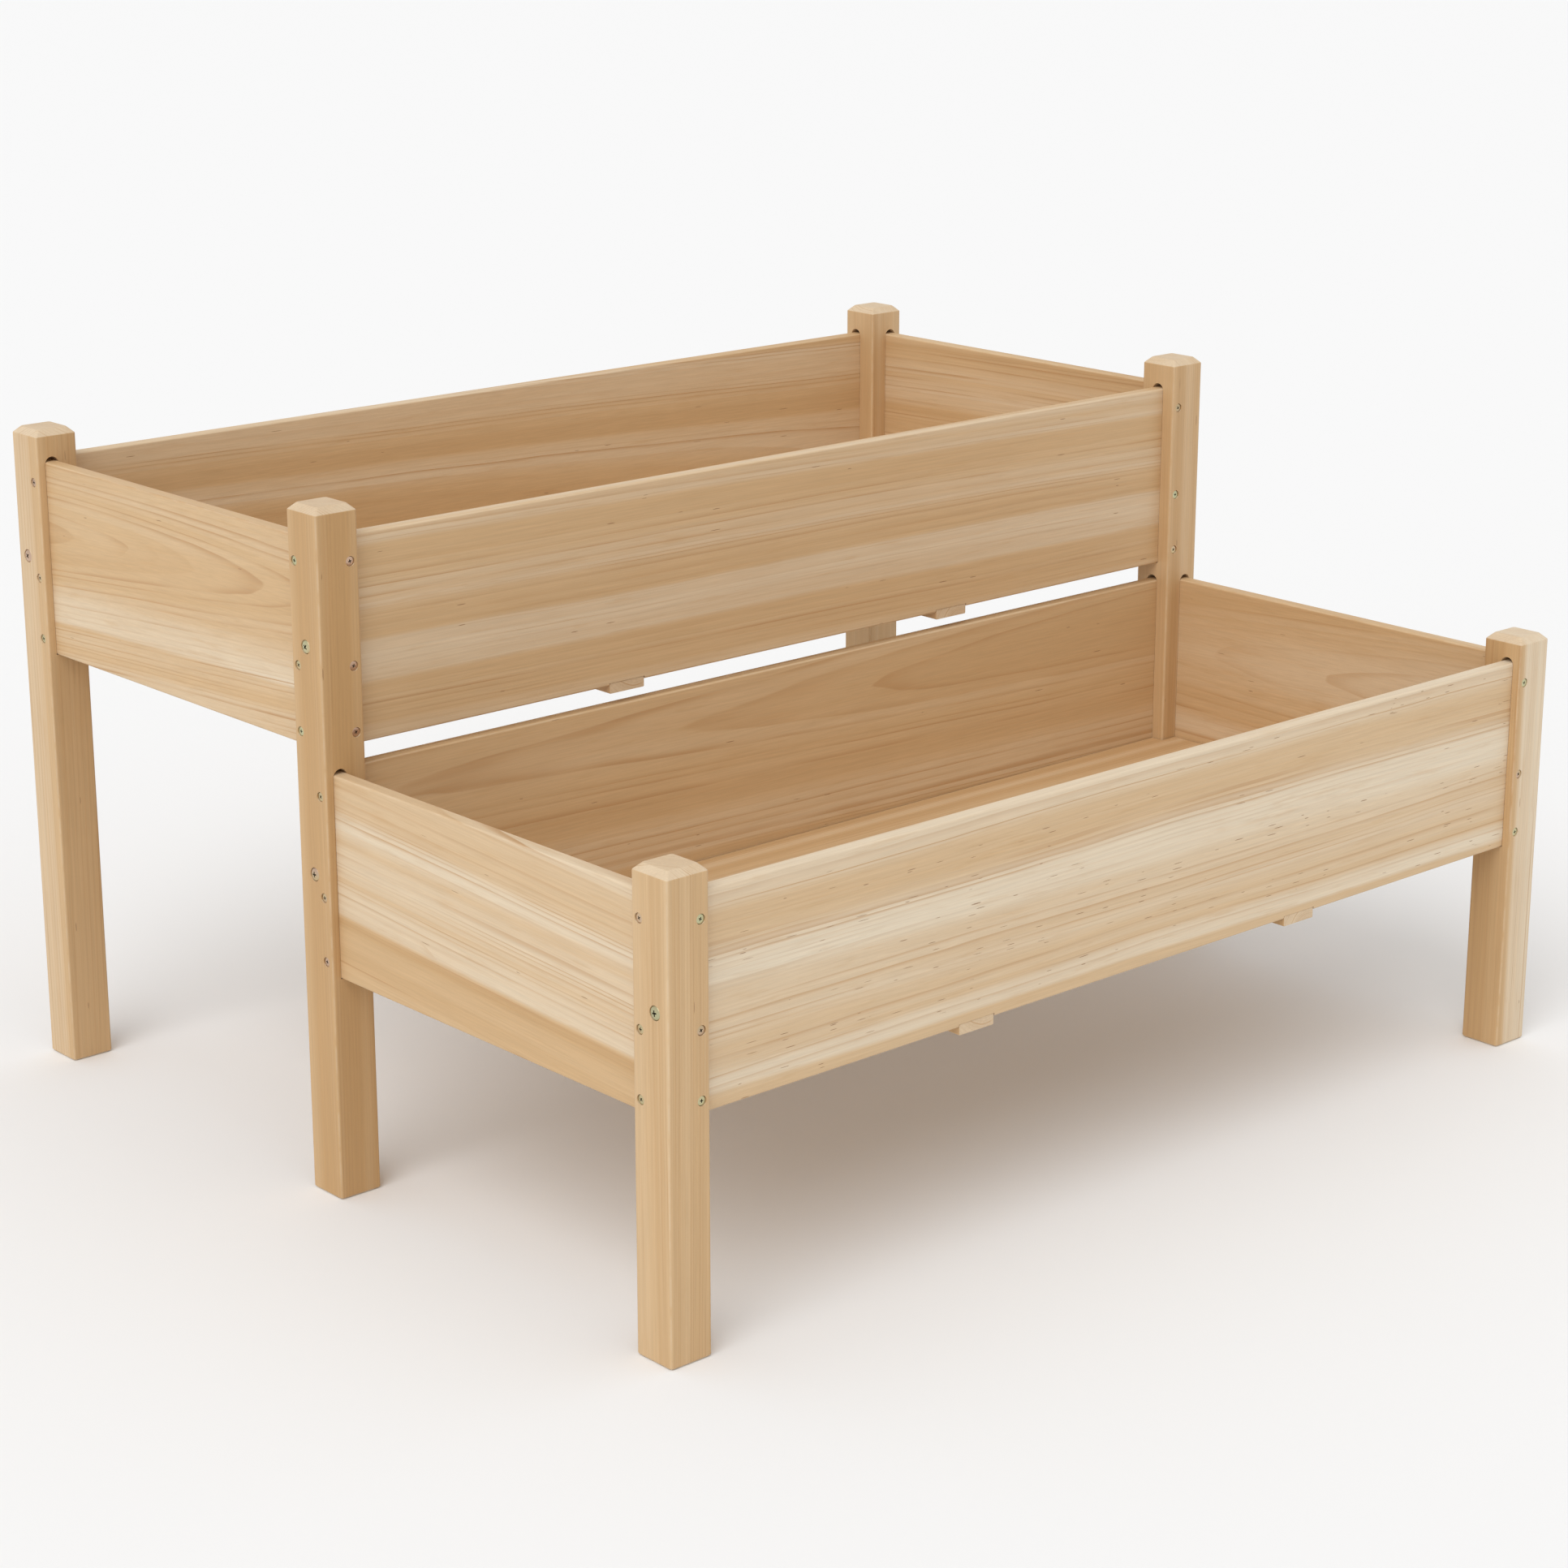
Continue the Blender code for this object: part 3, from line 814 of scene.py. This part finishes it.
@dataclass
class Timber:
    """One planed piece of wood that stands for a CAD node."""

    name: str
    node: str
    slot: str
    grain: Grain
    arris: float
    segments: int = 4
    broken: float = 0.0004
    cut: dict = field(default_factory=dict)

    def __post_init__(self) -> None:
        """Take the piece's place from the frame."""
        self.low, self.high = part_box(self.node)

    @property
    def along(self) -> int:
        """The axis of the piece's length, 0, 1 or 2."""
        return max(range(3), key=lambda axis: abs(self.grain.axis[axis]))

    def shape(self) -> None:
        """A board with its four long edges eased, and its ends just broken."""
        self.piece = Bench.block(self.name, self.low, self.high)
        with Bench.editing(self.piece):
            Bench.pick(self.piece, Element.EDGE, lambda edge: runs_along(edge, self.along))
            bpy.ops.mesh.bevel(offset=self.arris, segments=self.segments, affect="EDGES")
            Bench.pick(self.piece, Element.EDGE, lambda edge: bent_between(edge, 80, 100))
            bpy.ops.mesh.bevel(offset=self.broken, segments=2, affect="EDGES")

    def dress(self) -> None:
        """Smooth the piece, give it its finish and fix it to the frame."""
        Bench.smooth(self.piece)
        finish = Fir(
            name=f"fir_{self.name}", grain=self.grain,
            low=tuple(self.low), high=tuple(self.high), **self.cut,
        )
        self.piece.data.materials.clear()
        self.piece.data.materials.append(finish.build())
        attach(self.piece, BODY)
        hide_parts(self.node)
        LOG.info("%s: %d faces", self.name, len(self.piece.data.polygons))


@dataclass
class Post(Timber):
    """A square post with a planed top and an eased foot."""

    crown: float = 0.0065
    foot: float = 0.002
    soft_edge: float = 0.0007

    def shape(self) -> None:
        """Chamfer both ends, then round every upright and slanted edge."""
        self.piece = Bench.block(self.name, self.low, self.high)
        top, floor = self.high.z, self.low.z
        with Bench.editing(self.piece):
            for level, size in ((top, self.crown), (floor, self.foot)):
                Bench.pick(
                    self.piece, Element.EDGE,
                    lambda edge: all(abs(v.co.z - level) < NEAR for v in edge.verts),
                )
                bpy.ops.mesh.bevel(offset=size, segments=1, affect="EDGES")
            Bench.pick(self.piece, Element.EDGE, lambda edge: self.is_corner(edge))
            bpy.ops.mesh.bevel(offset=self.arris, segments=self.segments, affect="EDGES")
            Bench.pick(self.piece, Element.EDGE, lambda edge: bent_between(edge, 30, 60))
            bpy.ops.mesh.bevel(offset=self.soft_edge, segments=2, affect="EDGES")

    @staticmethod
    def is_corner(edge: bmesh.types.BMEdge) -> bool:
        """Whether an edge climbs, along the post or along a chamfer."""
        return abs(edge.verts[1].co.z - edge.verts[0].co.z) > NEAR


@dataclass
class BottomBoard(Timber):
    """A loose bottom board, notched round the posts where it meets them."""

    play: float = 0.001

    def shape(self) -> None:
        """Shape the board, then saw its corners out."""
        super().shape()
        for row in ROWS:
            for side in Side:
                low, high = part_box(f"post_{row}_{side.word}")
                if high.y < self.low.y - self.play or low.y > self.high.y + self.play:
                    continue
                low, high = low - Vector((self.play,) * 3), high + Vector((self.play,) * 3)
                Bench.carve(Bench.block("corner", low, high), self.piece)


# ------------------------------------------------------------------------------- fasteners


@dataclass
class Fastener:
    """A cross-recess screw or bolt, modelled head up at the origin."""

    name: str
    head_radius: float
    rise: float
    rim: float
    cone: float
    shank_radius: float
    length: float
    slot: str
    sides: int = 24
    pitch: float = 0.0018
    thread: float = 0.00045
    cross_span: float = 0.0046
    cross_width: float = 0.0011
    cross_depth: float = 0.0017
    cross_turn: float = 20.0
    cross_taper: Point = (0.42, 0.70, 1.0)
    plain_share: float = 0.25
    crown_steps: int = 5
    play: float = 0.00015
    gap: float = 0.00035
    proud: float = 0.004

    def shape(self, finishes: dict[str, bpy.types.Material]) -> Piece:
        """Model the fastener once.

        Args:
            finishes: Plate material, and the recess material with its painted shade.

        Returns:
            The prototype, which copies are made from.
        """
        piece = Bench.drum(self.name, self.head_radius, -self.rim, 0, self.sides)
        with Bench.editing(piece):
            Bench.pick(piece, Element.FACE, lambda face: face.normal.z > 0.9)
            Bench.draw_out(self.dome(), self.head_radius, 0)
            Bench.pick(piece, Element.FACE, lambda face: face.normal.z < -0.9)
            Bench.draw_out(self.stem(), self.head_radius, -self.rim)
        piece.data.materials.append(finishes["plate"])
        piece.data.materials.append(finishes["recess"])
        self.recess(piece)
        Bench.only(piece)
        bpy.ops.object.shade_smooth_by_angle(angle=SMOOTH_ANGLE)
        return piece

    def dome(self) -> list[tuple[float, float]]:
        """Sections of the head's crown, from its rim inwards."""
        rows = []
        for number in range(1, self.crown_steps + 1):
            turn = math.pi / 2 * number / (self.crown_steps + 0.6)
            rows.append((self.head_radius * math.cos(turn), self.rise * math.sin(turn)))
        return rows

    def stem(self) -> list[tuple[float, float]]:
        """Sections below the head: cone or seat, shank, thread and point."""
        neck = -self.rim - self.cone
        core = self.shank_radius - self.thread
        rows = [(self.shank_radius, neck)]
        plain = neck - self.plain_share * self.length
        rows.append((self.shank_radius, plain))
        level = plain - 0.3 * self.pitch
        rows.append((core, level))
        point = 2 * self.shank_radius
        while level - self.pitch > point - self.length:
            rows.append((core, level - 0.45 * self.pitch))
            rows.append((self.shank_radius, level - 0.70 * self.pitch))
            level -= self.pitch
            rows.append((core, level))
        rows.append((core * 0.55, (level - self.length) / 2))
        rows.append((0.0002, -self.length))
        return rows

    def recess(self, piece: Piece) -> None:
        """Sink the tapered cross into the head; its faces take the recess material, which paints shade
        into the cross.
        """
        for turn in (0.0, math.pi / 2):
            half = Vector((self.cross_span / 2, self.cross_width / 2, 0))
            top = self.rise + 0.001
            wing = Bench.block(
                "wing", Vector((-half.x, -half.y, self.rise - self.cross_depth)),
                Vector((half.x, half.y, top)),
            )
            with Bench.editing(wing):
                Bench.pick(wing, Element.FACE, lambda face: face.normal.z < -0.9)
                bpy.ops.transform.resize(
                    value=self.cross_taper, center_override=(0, 0, self.rise - self.cross_depth)
                )
            wing.data.materials.append(None)
            wing.data.materials.append(piece.data.materials[1])
            for face in wing.data.polygons:
                face.material_index = 1
            turn += math.radians(self.cross_turn)
            wing.data.transform(Matrix.Rotation(turn, 4, "Z"))
            Bench.carve(wing, piece)

    def hole(self) -> Piece:
        """A cutter for the seat and the pilot hole, head up at the origin."""
        rim = self.head_radius + self.gap
        wall = self.shank_radius + self.play
        cutter = Bench.drum("hole", rim, -self.rim - self.play, self.proud, self.sides)
        with Bench.editing(cutter):
            Bench.pick(cutter, Element.FACE, lambda face: face.normal.z < -0.9)
            neck = -self.rim - self.cone - self.play
            Bench.draw_out(
                [(wall, neck), (wall, -self.length - self.play)], rim, -self.rim - self.play
            )
        return cutter


def seat(place: Vector, outward: Vector, spin: float) -> Matrix:
    """Where a fastener goes: its head's face at a place, looking outward, turned about itself."""
    turn = Vector(outward).to_track_quat("Z", "Y").to_matrix().to_4x4()
    return Matrix.Translation(place) @ turn @ Matrix.Rotation(spin, 4, "Z")


# ----------------------------------------------------------------------------- the planter


ROWS = ("front", "middle", "back")

# The row of posts at the front and at the back of each bed
BEDS = {
    "lower": {"front": "front", "back": "middle"},
    "upper": {"front": "middle", "back": "back"},
}

# How the panels are cut. A panel's share 0 is its lower edge and 1 its upper edge.
PANEL_CUTS = {
    ("upper", "left"): {
        "seed": 2.4, "pith": (0.035, -0.048), "tilt": (0.0415, 0.055), "ring_width": 0.0048,
        "contrast": 0.22, "line": 1.0,
        "bands": ((0.0, 0.55), (0.10, 0.48), (0.215, 0.44), (0.235, 0.86), (0.33, 0.74),
                  (0.42, 0.42), (0.60, 0.32), (0.80, 0.44), (1.0, 0.40)),
    },
    ("lower", "left"): {
        "seed": 9.1, "pith": (-0.170, -0.060), "tilt": (-0.045, 0.020), "ring_width": 0.0070,
        "contrast": 0.25,
        "bands": ((0.0, 0.44), (0.12, 0.28), (0.25, 0.18), (0.285, 0.86), (0.40, 0.78), (0.45, 0.58),
                  (0.52, 0.72), (0.60, 0.74), (0.64, 0.52), (0.70, 0.80), (0.84, 0.60), (1.0, 0.66)),
    },
    ("lower", "front"): {
        "seed": 5.6, "pith": (-0.190, -0.070), "tilt": (0.004, 0.012), "ring_width": 0.0075,
        "wave": 0.016, "flecks": 0.45, "contrast": 0.25,
        "bands": ((0.0, 0.50), (0.045, 0.52), (0.065, 0.95), (0.12, 1.0), (0.17, 0.58), (0.25, 0.50),
                  (0.32, 0.80), (0.38, 0.56), (0.50, 0.68), (0.56, 1.0), (0.68, 0.97), (0.74, 0.60),
                  (0.88, 0.62), (1.0, 0.88)),
    },
    ("upper", "front"): {
        "seed": 12.2, "pith": (0.150, -0.050), "tilt": (0.006, 0.010), "ring_width": 0.0060,
        "pale": 0.56,
    },
    ("lower", "back"): {
        "seed": 17.5, "pith": (0.060, -0.060), "tilt": (0.006, 0.020), "ring_width": 0.0065,
        "pale": 0.36,
    },
    ("upper", "back"): {
        "seed": 21.3, "pith": (-0.040, 0.070), "tilt": (0.008, 0.030), "ring_width": 0.0060,
    },
    ("lower", "right"): {
        "seed": 26.8, "pith": (0.030, 0.050), "tilt": (0.020, 0.040), "ring_width": 0.0065,
        "pale": 0.50,
    },
    ("upper", "right"): {
        "seed": 31.9, "pith": (-0.120, 0.060), "tilt": (0.025, 0.010), "ring_width": 0.0060,
    },
}

# How pale each post is, from its left face to its right face: sapwood and heartwood, and painted shade
# that darkens faces the beds shade, such as the front right post's inner left face and the back left
# post's front face.
POST_TONE_AND_PAINTED_SHADE = {
    ("front", "left"): ((0.0, 0.34), (0.5, 0.30), (1.0, 0.24)),
    ("front", "right"): ((0.0, 0.12), (0.10, 0.16), (0.30, 0.82), (1.0, 0.88)),
    ("middle", "left"): ((0.0, 0.18), (0.20, 0.08), (1.0, 0.02)),
    ("middle", "right"): ((0.0, 0.30), (1.0, 0.40)),
    ("back", "left"): ((0.0, 0.46), (0.12, 0.40), (0.35, 0.15), (1.0, 0.10)),
    ("back", "right"): ((0.0, 0.40), (1.0, 0.30)),
}


@dataclass
class Planter:
    """Six posts, two beds and the fasteners that hold them."""

    post_arris: float = 0.0025
    panel_arris: float = 0.0022
    slat_arris: float = 0.0012
    groove_over: float = 0.005
    groove_deep: float = 0.018
    screw_inset: float = 0.0095
    screw_sunk: float = 0.0007
    notch_play: float = 0.0008
    spin_step: float = 0.61
    screws: int = 0

    def build(self) -> None:
        """Shape every timber, join them, and drive the fasteners."""
        self.model_fasteners()
        self.timbers = {timber.node: timber for timber in self.choose_timbers()}
        for timber in self.timbers.values():
            timber.shape()
        self.cut_grooves()
        self.cut_notches()
        self.drive_all()
        for timber in self.timbers.values():
            timber.dress()
        for proto in (self.short, self.long, self.bolt):
            Bench.scrap(self.models[proto.name])

    def model_fasteners(self) -> None:
        """Model the two wood screws and the bolt once."""
        plate = Zinc("zinc_plate").build()
        # The recess material is darkened: painted shade in the cross recess, with some grime
        recess = Zinc("zinc_recess", roughness=0.5, darkness=0.70).build()
        finishes = {"plate": plate, "recess": recess}
        head = {
            "head_radius": 0.0045, "rise": 0.0005, "rim": 0.0004, "cone": 0.0024,
            "shank_radius": 0.0020, "slot": "zinc_screw",
        }
        self.short = Fastener(name="short_screw", length=0.0215, **head)
        self.long = Fastener(name="long_screw", length=0.0275, **head)
        self.bolt = Fastener(
            name="domed_bolt", head_radius=0.0065, rise=0.0019, rim=0.0002, cone=0.00005,
            shank_radius=0.0030, length=0.0685, slot="zinc_bolt", sides=32, pitch=0.0025,
            thread=0.0006, cross_span=0.0068, cross_width=0.0016, cross_depth=0.0026,
        )
        self.models = {
            part.name: part.shape(finishes) for part in (self.short, self.long, self.bolt)
        }

    def choose_timbers(self) -> Iterator[Timber]:
        """The posts, then each bed's panels, battens and bottom boards."""
        for number, row in enumerate(ROWS):
            for side in Side:
                yield Post(
                    name=f"{row}_{side.word}_post", node=f"post_{row}_{side.word}",
                    slot="fir_post", grain=Grain.ALONG_Z, arris=self.post_arris,
                    cut=self.post_cut(number, row, side),
                )
        for bed in BEDS:
            for which in ("front", "back", "left", "right"):
                yield Timber(
                    name=f"{bed}_{which}_panel", node=f"panel_{bed}_{which}", slot="fir_panel",
                    grain=Grain.ALONG_X if which in BEDS[bed] else Grain.ALONG_Y,
                    arris=self.panel_arris, cut=PANEL_CUTS[bed, which],
                )
            for number, side in enumerate(Side):
                yield Timber(
                    name=f"{bed}_{side.word}_batten", node=f"batten_{bed}_{side.word}",
                    slot="fir_slat", grain=Grain.ALONG_Y, arris=self.slat_arris, segments=3,
                    cut={"seed": 40.3 + number + 7 * len(bed), "pale": 0.25,
                         "pith": (0.03 - 0.05 * number, 0.012), "ring_width": 0.0030},
                )
            for number in range(1, 4):
                yield BottomBoard(
                    name=f"{bed}_bottom_board_{number}", node=f"floor_board_{bed}_{number}",
                    slot="fir_slat", grain=Grain.ALONG_X, arris=self.slat_arris, segments=3,
                    cut={"seed": 60.7 + 3.3 * number + len(bed) * 2 + ord(bed[0]) % 5,
                         "pith": (0.02 * number, 0.05 * number - 0.09), "tilt": (0.012, 0.02),
                         "pale": 0.38},
                )

    @staticmethod
    def post_cut(number: int, row: str, side: Side) -> dict:
        """How one post is cut from its log; number counts the rows from the front."""
        return {
            "seed": 3.7 + 5.1 * number + 2.3 * side.sign,
            "pith": (0.050 + 0.011 * number, 0.030 - 0.024 * number * side.sign),
            "tilt": (0.004 * side.sign, 0.006),
            "ring_width": 0.0021 + 0.0003 * number,
            # The post bands hold painted shade on the faces that the beds shade, besides the wood's
            # own tone
            "wave": 0.005, "bands": POST_TONE_AND_PAINTED_SHADE[row, side.word], "contrast": 0.28, "line": 0.85,
            "knots": 0.02,
        }

    def cut_grooves(self) -> None:
        """Cut each panel's blind groove into the two posts that hold it."""
        for bed, rows in BEDS.items():
            for which, row in rows.items():
                for side in Side:
                    self.cut_groove(self.timbers[f"panel_{bed}_{which}"], row, side, 0)
            for side in Side:
                for row in rows.values():
                    self.cut_groove(self.timbers[f"panel_{bed}_{side.word}"], row, side, 1)

    def cut_groove(self, panel: Timber, row: str, side: Side, along: int) -> None:
        """Cut one groove, open towards the panel and round at its upper end.

        Args:
            panel: The panel that goes in.
            row: Row of the post.
            side: Side of the post.
            along: The panel's length axis, 0 or 1.
        """
        post = self.timbers[f"post_{row}_{side.word}"]
        low = panel.low - Vector((TOUCH, TOUCH, TOUCH))
        high = panel.high + Vector((TOUCH, TOUCH, self.groove_over))
        middle = (post.low[along] + post.high[along]) / 2
        if middle < (panel.low[along] + panel.high[along]) / 2:
            low[along] = post.high[along] - self.groove_deep
            high[along] = post.high[along] + TOUCH
        else:
            low[along] = post.low[along] - TOUCH
            high[along] = post.low[along] + self.groove_deep
        cutter = Bench.block("groove", low, high)
        half = (high[1 - along] - low[1 - along]) / 2
        with Bench.editing(cutter):
            Bench.pick(
                cutter, Element.EDGE,
                lambda edge: runs_along(edge, along) and edge.verts[0].co.z > high.z - NEAR,
            )
            bpy.ops.mesh.bevel(offset=half * 0.99, segments=8, affect="EDGES")
        Bench.carve(cutter, post.piece)

    def cut_notches(self) -> None:
        """Notch the long panels' lower edges over the battens."""
        play = self.notch_play
        for bed, rows in BEDS.items():
            for side in Side:
                batten = self.timbers[f"batten_{bed}_{side.word}"]
                for which in rows:
                    panel = self.timbers[f"panel_{bed}_{which}"]
                    low = Vector((batten.low.x - play, panel.low.y - play, batten.low.z))
                    high = Vector((batten.high.x + play, panel.high.y + play, batten.high.z + TOUCH))
                    Bench.carve(Bench.block("notch", low, high), panel.piece)

    def drive(
        self, part: Fastener, name: str, place: Vector, outward: Vector,
        through: tuple[str, ...], node: str | None = None,
    ) -> None:
        """Drive one fastener: cut its hole and put a copy in.

        Args:
            part: Which fastener.
            name: The copy's name.
            place: Middle of its head's rim plane.
            outward: The way that its head faces.
            through: Nodes of the timbers that it goes through.
            node: CAD node that it stands for, if there is one.
        """
        self.screws += 1
        matrix = seat(place, outward, self.spin_step * self.screws)
        cutter = part.hole()
        cutter.data.transform(matrix)
        Bench.carve(cutter, *(self.timbers[other].piece for other in through))
        piece = Bench.copy(self.models[part.name], name, matrix)
        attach(piece, BODY)
        if node is not None:
            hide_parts(node)

    def drive_all(self) -> None:
        """Drive every screw and bolt of both beds."""
        for bed, rows in BEDS.items():
            for side in Side:
                self.screw_side_panel(bed, rows, side)
                for which in rows:
                    self.screw_long_panel(bed, rows, which, side)
                    self.drive_bolt(bed, rows, which, side)
                    self.screw_batten(bed, which, side)
        LOG.info("fasteners: %d", self.screws)

    def screw_side_panel(self, bed: str, rows: dict[str, str], side: Side) -> None:
        """Three screws through each post's end face into the side panel."""
        outward = Vector((side.sign, 0, 0))
        for where, row in rows.items():
            for level in ("low", "mid", "high"):
                node = f"screw_{bed}_{side.word}_{where}_{level}"
                low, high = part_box(node)
                place = (low + high) / 2
                place.x = self.end_face(row, side) - side.sign * self.sunk_rim(self.short)
                self.drive(
                    self.short, f"{bed}_{side.word}_{where}_{level}_end_screw", place, outward,
                    (f"post_{row}_{side.word}", f"panel_{bed}_{side.word}"), node,
                )

    def end_face(self, row: str, side: Side) -> float:
        """X of a post's outer face."""
        post = self.timbers[f"post_{row}_{side.word}"]
        return post.low.x if side is Side.LEFT else post.high.x

    def sunk_rim(self, part: Fastener) -> float:
        """How far a screw's rim plane lies below the wood's face."""
        return self.screw_sunk + part.rise

    def screw_long_panel(self, bed: str, rows: dict[str, str], which: str, side: Side) -> None:
        """Three screws through a post's cheek into the long panel."""
        row, sign = rows[which], -1 if which == "front" else 1
        post = self.timbers[f"post_{row}_{side.word}"]
        part = self.long if row == "middle" else self.short
        inner = post.high.x if side is Side.LEFT else post.low.x
        face = post.low.y if which == "front" else post.high.y
        for level in ("low", "mid", "high"):
            low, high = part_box(f"screw_{bed}_{side.word}_front_{level}")
            place = Vector((
                inner + side.sign * self.screw_inset, face - sign * self.sunk_rim(part),
                (low.z + high.z) / 2,
            ))
            self.drive(
                part, f"{bed}_{which}_{side.word}_{level}_cheek_screw", place,
                Vector((0, sign, 0)), (f"post_{row}_{side.word}", f"panel_{bed}_{which}"),
            )

    def drive_bolt(self, bed: str, rows: dict[str, str], which: str, side: Side) -> None:
        """One domed bolt through a post's end face into the long panel's end grain."""
        row = rows[which]
        node = f"bolt_{bed}_{which}_{side.word}"
        low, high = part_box(node)
        place = (low + high) / 2
        outer = low.x if side is Side.LEFT else high.x
        place.x = outer - side.sign * self.bolt.rise
        self.drive(
            self.bolt, f"{bed}_{which}_{side.word}_bolt", place, Vector((side.sign, 0, 0)),
            (f"post_{row}_{side.word}", f"panel_{bed}_{which}"), node,
        )

    def screw_batten(self, bed: str, which: str, side: Side) -> None:
        """One screw up through a batten into the long panel's lower edge."""
        batten = self.timbers[f"batten_{bed}_{side.word}"]
        panel = self.timbers[f"panel_{bed}_{which}"]
        place = Vector((
            (batten.low.x + batten.high.x) / 2, (panel.low.y + panel.high.y) / 2,
            batten.low.z + self.sunk_rim(self.long),
        ))
        self.drive(
            self.long, f"{bed}_{side.word}_{which}_batten_screw", place, Vector((0, 0, -1)),
            (f"batten_{bed}_{side.word}", f"panel_{bed}_{which}"),
        )


# -------------------------------------------------------------------------------- studio


@dataclass
class Studio:
    """Plain pale floor, soft light and the camera."""

    camera_place: Point = (-2.3477, -2.6065, 1.3514)
    camera_turn: float = -41.892
    camera_tip: float = 16.82
    lens: float = 80.2
    sensor: float = 36.0
    floor_size: float = 60.0
    floor_tone: Colour = (0.88, 0.88, 0.88)
    sky_strength: float = 0.80
    backdrop_strength: float = 0.985
    key_towards: Point = (-0.62, -0.30, 0.72)
    key_strength: float = 1.22
    key_spread: float = 42.0

    def build(self) -> None:
        """Set up the camera, the floor, the sky and the key light."""
        self.set_camera()
        self.lay_floor()
        self.hang_sky()
        self.hang_key()
        bpy.context.scene.view_settings.view_transform = "Standard"

    def hang_key(self) -> None:
        """A wide, soft light from the front left."""
        data = bpy.data.lights.new("key", "SUN")
        data.energy = self.key_strength
        data.angle = math.radians(self.key_spread)
        lamp = bpy.data.objects.new("key", data)
        bpy.context.scene.collection.objects.link(lamp)
        lamp.rotation_euler = Vector(self.key_towards).to_track_quat("Z", "Y").to_euler()

    def hang_sky(self) -> None:
        """A white sky, seen as bright as the floor."""
        world = bpy.data.worlds.new("studio")
        world.use_nodes = True
        sheet = Sheet(world.node_tree)
        sky = world.node_tree.nodes["Background"]
        sky.inputs["Color"].default_value = (1.0, 1.0, 1.0, 1.0)
        seen = sheet.add("ShaderNodeLightPath").outputs["Is Camera Ray"]
        extra = self.backdrop_strength - self.sky_strength
        sheet.feed(sky.inputs["Strength"], sheet.times_plus(seen, extra, self.sky_strength))
        bpy.context.scene.world = world

    def set_camera(self) -> None:
        """A long lens from the front left, a little above the planter."""
        data = bpy.data.cameras.new("camera")
        data.lens = self.lens
        data.sensor_width = self.sensor
        camera = bpy.data.objects.new("camera", data)
        bpy.context.scene.collection.objects.link(camera)
        camera.location = self.camera_place
        camera.rotation_euler = (
            math.radians(90 - self.camera_tip), 0, math.radians(self.camera_turn)
        )
        bpy.context.scene.camera = camera

    def lay_floor(self) -> None:
        """A wide, plain, pale floor."""
        Bench.clear()
        bpy.ops.mesh.primitive_plane_add(size=self.floor_size)
        floor = Bench.named("floor")
        material, _, shader = blank_material("pale_floor")
        shader.inputs["Base Color"].default_value = (*self.floor_tone, 1.0)
        shader.inputs["Roughness"].default_value = 0.9
        shader.inputs["Specular IOR Level"].default_value = 0.1
        floor.data.materials.append(material)


def main() -> None:
    """Build the studio, the shared effects and the planter."""
    logging.basicConfig(level=logging.INFO, format="%(name)s: %(message)s")
    Studio().build()
    for effect in EFFECTS:
        effect.build()
    Planter().build()


if __name__ == "__main__":
    main()
